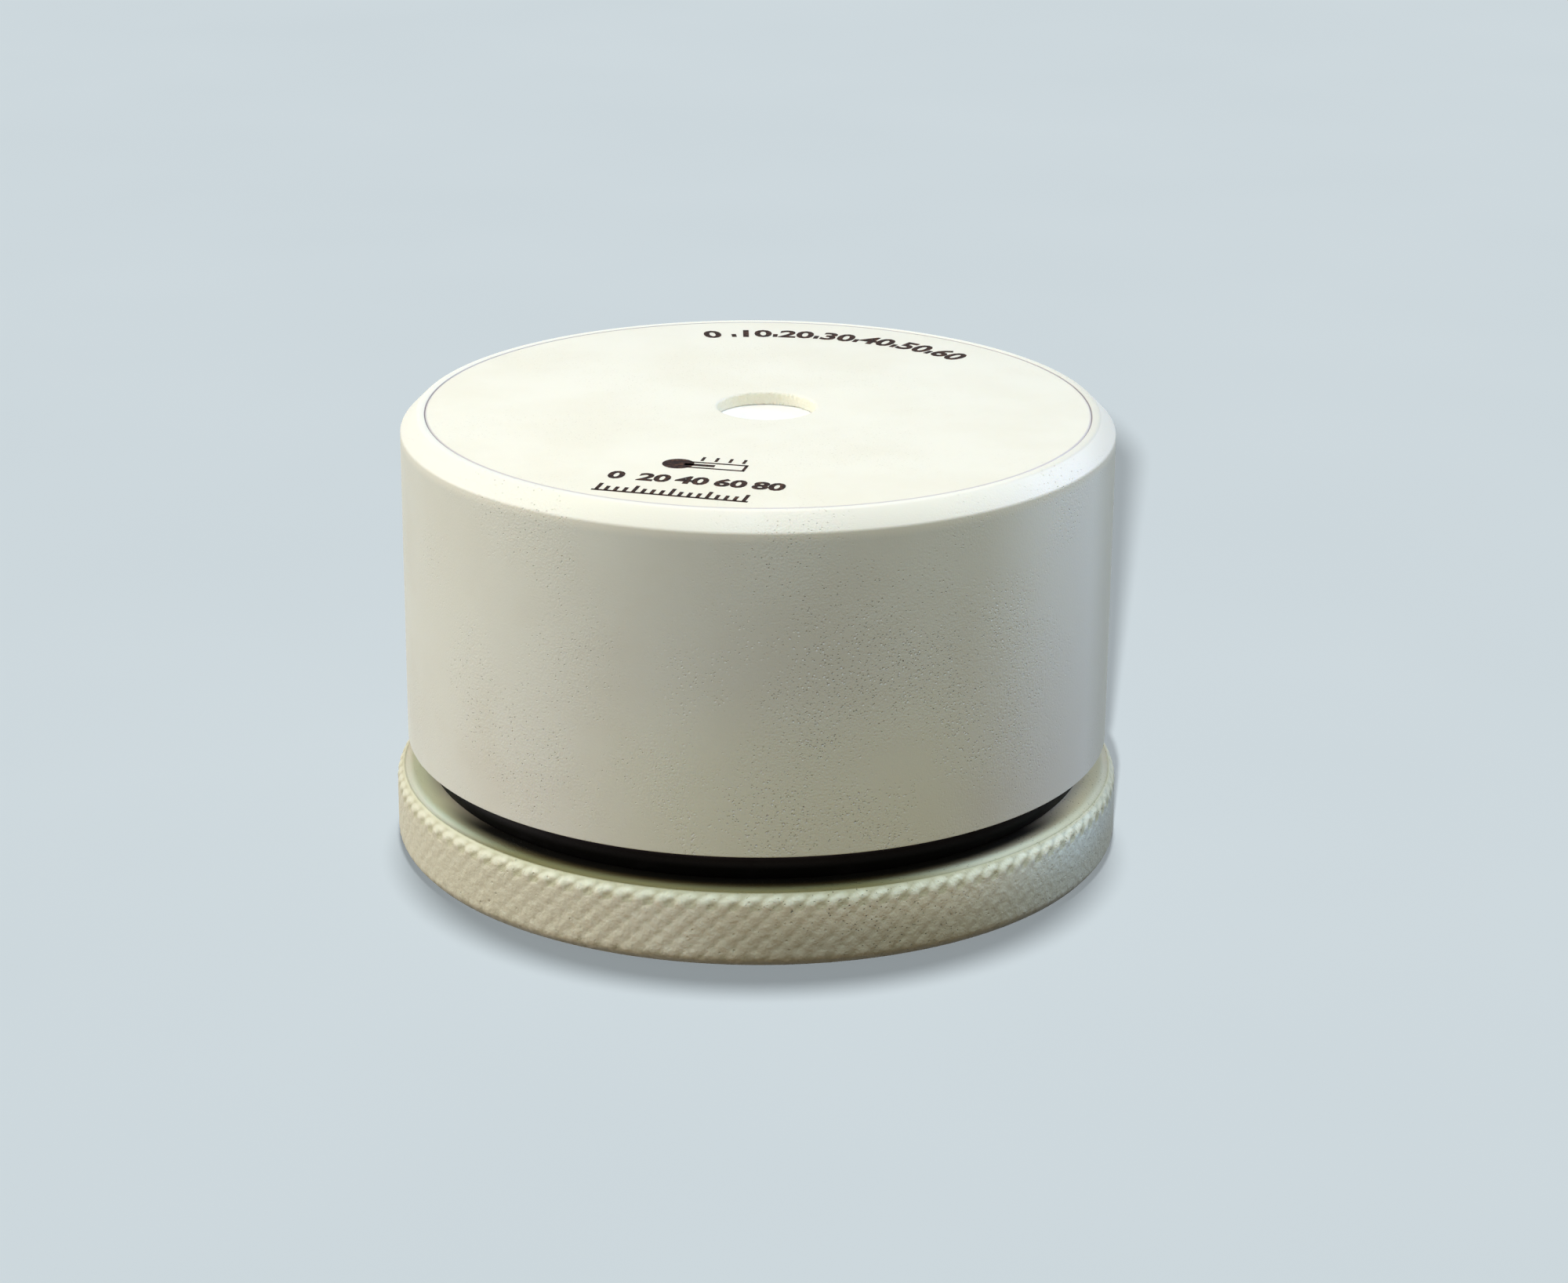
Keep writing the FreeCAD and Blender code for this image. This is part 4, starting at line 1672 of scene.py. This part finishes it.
    def gauge(self) -> list[Workpiece]:
        """Print the front gauge: a row of numbers over a ruler.

        Returns:
            Its marks.
        """
        marks = []
        middle = (len(self.row_numbers) - 1) / 2
        for index, text in enumerate(self.row_numbers):
            at = self.row.at((index - middle) * self.row_step, 0)
            marks.append(self.number(text, at, self.row.turn, self.row_size))
        middle = (self.ruler_ticks - 1) / 2
        turn = self.ruler.turn
        for index in range(self.ruler_ticks):
            tall = self.short_tick if index % self.ticks_a_number else self.tall_tick
            at = self.ruler.at((index - middle) * self.ruler_step, tall / 2)
            marks.append(self.stroke(at, turn, self.ruler_tick, tall))
        line = self.ruler_ticks * self.ruler_step
        marks.append(self.stroke(self.ruler.at(0, 0), turn, line, self.ruler_line))
        return marks

    def thermometer(self) -> list[Workpiece]:
        """Print a small lying thermometer above the gauge.

        Returns:
            Its marks.
        """
        marks = []
        for across, up, wide, tall in self.picture_strokes:
            at = self.picture.at(across * MM, up * MM)
            marks.append(self.stroke(at, self.picture.turn, wide * MM, tall * MM))
        at = self.picture.at(*self.bulb_at)
        top = self.face + self.film
        bulb = Workpiece.cylinder(
            "bulb", self.bulb, self.face, top, self.bulb_sides, (at.x, at.y)
        )
        return [*marks, bulb]


@dataclass
class Inside:
    """The pieces inside, which keep their solids' shapes and get their finishes."""

    def build(self, nodes: dict[str, Any]) -> None:
        """Dress each node.

        Args:
            nodes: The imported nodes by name.
        """
        finishes = {
            ("plate_spring",): Metal(
                "spring_steel", srgb(178, 180, 184), srgb(120, 118, 116), 0.3
            ),
            ("pressure_plate",): Milky(
                "plate_plastic", srgb(224, 222, 212), srgb(214, 210, 198)
            ),
            ("lithium_cell",): Metal(
                "cell_steel", srgb(212, 214, 216), srgb(176, 176, 174), 0.22
            ),
            ("cell_carrier",): Moulded(
                "carrier_plastic", srgb(52, 54, 58), srgb(40, 42, 46), 0.45
            ),
            ("positive_contact", "negative_contact"): Metal(
                "contact_metal", srgb(214, 190, 120), srgb(178, 150, 92), 0.25
            ),
            ("circuit_board",): Laminate(),
            ("board_screws", "sensor_cup", "clock_crystal"): Metal(
                "screw_steel", srgb(200, 202, 204), srgb(160, 160, 158)
            ),
            ("board_spacers",): Metal(
                "spacer_brass", srgb(206, 176, 98), srgb(160, 128, 66), 0.26
            ),
            ("thermal_pad",): Milky(
                "pad_silicone", srgb(196, 168, 190), srgb(182, 152, 178), 0.6
            ),
            ("temperature_sensor",): Moulded(
                "bead_epoxy", srgb(34, 30, 30), srgb(52, 42, 38), 0.3
            ),
            ("processor_chip", "memory_chip"): Moulded(
                "chip_epoxy", srgb(34, 34, 36), srgb(46, 46, 48), 0.55
            ),
            ("storage_capacitor",): Moulded(
                "storage_epoxy", srgb(206, 140, 40), srgb(184, 118, 30), 0.4
            ),
            ("ceramic_capacitors",): Moulded(
                "chip_ceramic", srgb(178, 146, 106), srgb(156, 124, 88), 0.45
            ),
            ("chip_resistors",): Moulded(
                "resistor_film", srgb(28, 30, 34), srgb(58, 60, 66), 0.4
            ),
            ("readout_coil",): Windings(),
            ("start_reed_switch",): Glass(),
        }
        for names, finish in finishes.items():
            material = finish.build()
            for name in names:
                self.dress(nodes[name], material)

    @staticmethod
    def dress(node: Any, material: Any) -> None:
        """Put a material in a node's slots.

        Args:
            node: The node's object.
            material: The material.
        """
        if not node.material_slots:
            node.data.materials.append(material)
        for slot in node.material_slots:
            slot.material = material
        LOG.info("%s: %s", node.name, material.name)


@dataclass(frozen=True)
class Lamp:
    """A soft, distant studio lamp.

    Its bearing is 0 from the camera's side and grows towards the right, and its
    height is above the floor, both in degrees.
    """

    name: str
    bearing: float
    height: float
    strength: float
    colour: tuple[float, float, float]
    softness: float
    lit: Lit = Lit.OBJECT

    def build(self, flags: dict[Lit, Any]) -> None:
        """Add the lamp.

        Args:
            flags: The collections that say what a lamp lights.
        """
        light = bpy.data.lights.new(self.name, "SUN")
        light.energy = self.strength * math.pi
        light.color = self.colour
        light.angle = math.radians(self.softness)
        obj = bpy.data.objects.new(self.name, light)
        bpy.context.scene.collection.objects.link(obj)
        bearing, height = math.radians(self.bearing), math.radians(self.height)
        towards = Vector(
            (
                math.sin(bearing) * math.cos(height),
                -math.cos(bearing) * math.cos(height),
                math.sin(height),
            )
        )
        obj.rotation_mode = "QUATERNION"
        obj.rotation_quaternion = towards.to_track_quat("Z", "Y")
        obj.light_linking.receiver_collection = flags[self.lit]


@dataclass
class Studio:
    """Floor, light and camera."""

    floor_reach: float = 12.0
    floor_level: float = -0.005 * MM
    floor_sides: int = 64
    floor_colour: Colour = (0.1017, 0.1143, 0.1205, 1.0)
    floor_grain: Colour = (1.0, 1.0, 1.0, 1.0)
    grain_share: float = 0.006
    bounce_colour: Colour = (0.0117, 0.01, 0.0075, 1.0)
    backdrop: Colour = srgb(205, 216, 221)
    camera_at: tuple[float, float, float] = (0.0, -297.642, 122.152)
    camera_aim: tuple[float, float, float] = (2.218, 0.0, 15.991)
    camera_roll: float = 0.429
    lens: float = 87.4476
    sensor: float = 36.0
    nearest: float = 10.0 * MM
    lamps: tuple[Lamp, ...] = (
        Lamp("ground_back", 180, 81.1, 3.43, (1.0, 1.0, 1.0), 6.8, Lit.FLOOR),
        Lamp("ground_front", -6.9, 17.9, 8.03, (1.0, 1.0, 1.0), 1.7, Lit.FLOOR),
        Lamp("back_lamp", -160, 84, 0.2, (1.0, 0.1, 0.05), 16),
        Lamp("zenith_lamp", 0, 74, 0.41, (0.45, 0.77, 1.0), 14),
        Lamp("left_lamp", -95, 12, 0.72, (1.0, 0.94, 0.9), 40),
        Lamp("cool_lamp", 120, 28, 0.42, (0.51, 0.65, 1.0), 24),
        Lamp("left_window", -105, 58, 0.235, (0.77, 1.0, 0.66), 30),
        Lamp("right_window", 105, 58, 0.29, (0.92, 1.0, 0.71), 30),
        Lamp("front_fill", 0, 20, 0.25, (1.0, 0.88, 0.68), 40),
    )

    def build(self) -> None:
        """Build the floor, world, lamps and camera."""
        flags = self.flags(self.floor())
        self.world()
        for lamp in self.lamps:
            lamp.build(flags)
        self.camera()
        bpy.context.scene.view_settings.view_transform = "Standard"

    @staticmethod
    def shown_rays(bench: Bench) -> Any:
        """Return 1 for rays that show the surface, and 0 for rays that light.

        Args:
            bench: The node tree's bench.

        Returns:
            The share's socket.
        """
        rays = bench.add("ShaderNodeLightPath").outputs
        seen = bench.sum("MAXIMUM", rays["Is Camera Ray"], rays["Is Glossy Ray"])
        return bench.sum("MAXIMUM", seen, rays["Is Transmission Ray"])

    @staticmethod
    def flags(floor: Any) -> dict[Lit, Any]:
        """Make the collections that say what a lamp lights.

        Args:
            floor: The floor.

        Returns:
            The collection for each choice.
        """
        flags: dict[Lit, Any] = {}
        for lit in Lit:
            group = bpy.data.collections.new(f"lamp_{lit.name.lower()}")
            group.objects.link(floor)
            group.collection_objects[0].light_linking.link_state = lit.value
            flags[lit] = group
        return flags

    def floor(self) -> Any:
        """Lay the pale floor.

        Returns:
            The floor.
        """
        Workpiece.clear()
        bpy.ops.mesh.primitive_circle_add(
            vertices=self.floor_sides, radius=self.floor_reach, fill_type="NGON"
        )
        floor = bpy.context.object
        floor.name = "floor"
        floor.location.z = self.floor_level
        bench = Bench.paint("floor_paint", self.floor_colour)
        grain = bench.level(bench.noise(0.02, 2.0), 0.0, self.grain_share)
        bench.lay(self.floor_grain, grain)
        shown = self.shown_rays(bench)
        bench.colour = bench.blend(shown, self.bounce_colour, bench.colour)
        material = bench.finish(Roughness=1.0, Specular_IOR_Level=0.0)
        floor.data.materials.append(material)
        return floor

    def world(self) -> None:
        """Hang the backdrop's colour behind the object, and light nothing with it."""
        world = bpy.data.worlds.new("room")
        bpy.context.scene.world = world
        bench = Bench(world)
        unlit = bench.add("ShaderNodeBackground", {"Strength": 0.0}).outputs[0]
        shown = bench.add("ShaderNodeBackground", {"Color": self.backdrop}).outputs[0]
        feeds = {0: self.shown_rays(bench), 1: unlit, 2: shown}
        mixed = bench.add("ShaderNodeMixShader", feeds).outputs[0]
        bench.add("ShaderNodeOutputWorld", {"Surface": mixed})

    def camera(self) -> None:
        """Stand the camera where the photograph's stood."""
        data = bpy.data.cameras.new("camera")
        data.lens = self.lens
        data.sensor_width = self.sensor
        data.clip_start = self.nearest
        camera = bpy.data.objects.new("camera", data)
        bpy.context.scene.collection.objects.link(camera)
        at, aim = Vector(self.camera_at) * MM, Vector(self.camera_aim) * MM
        camera.location = at
        camera.rotation_mode = "QUATERNION"
        level = (aim - at).to_track_quat("-Z", "Y")
        roll = Quaternion((0, 0, 1), math.radians(self.camera_roll))
        camera.rotation_quaternion = level @ roll
        bpy.context.scene.camera = camera


def main() -> None:
    """Build the logger's looks in order, then the studio round it."""
    logging.basicConfig(level=logging.INFO, format="%(name)s %(message)s")
    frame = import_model()
    for assembly in (KnurledBase(), Seal(), Housing(), TopDisc(), DialMarks()):
        assembly.build()
    Inside().build(frame["nodes"])
    Studio().build()
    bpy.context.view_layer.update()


if __name__ == "__main__":
    main()
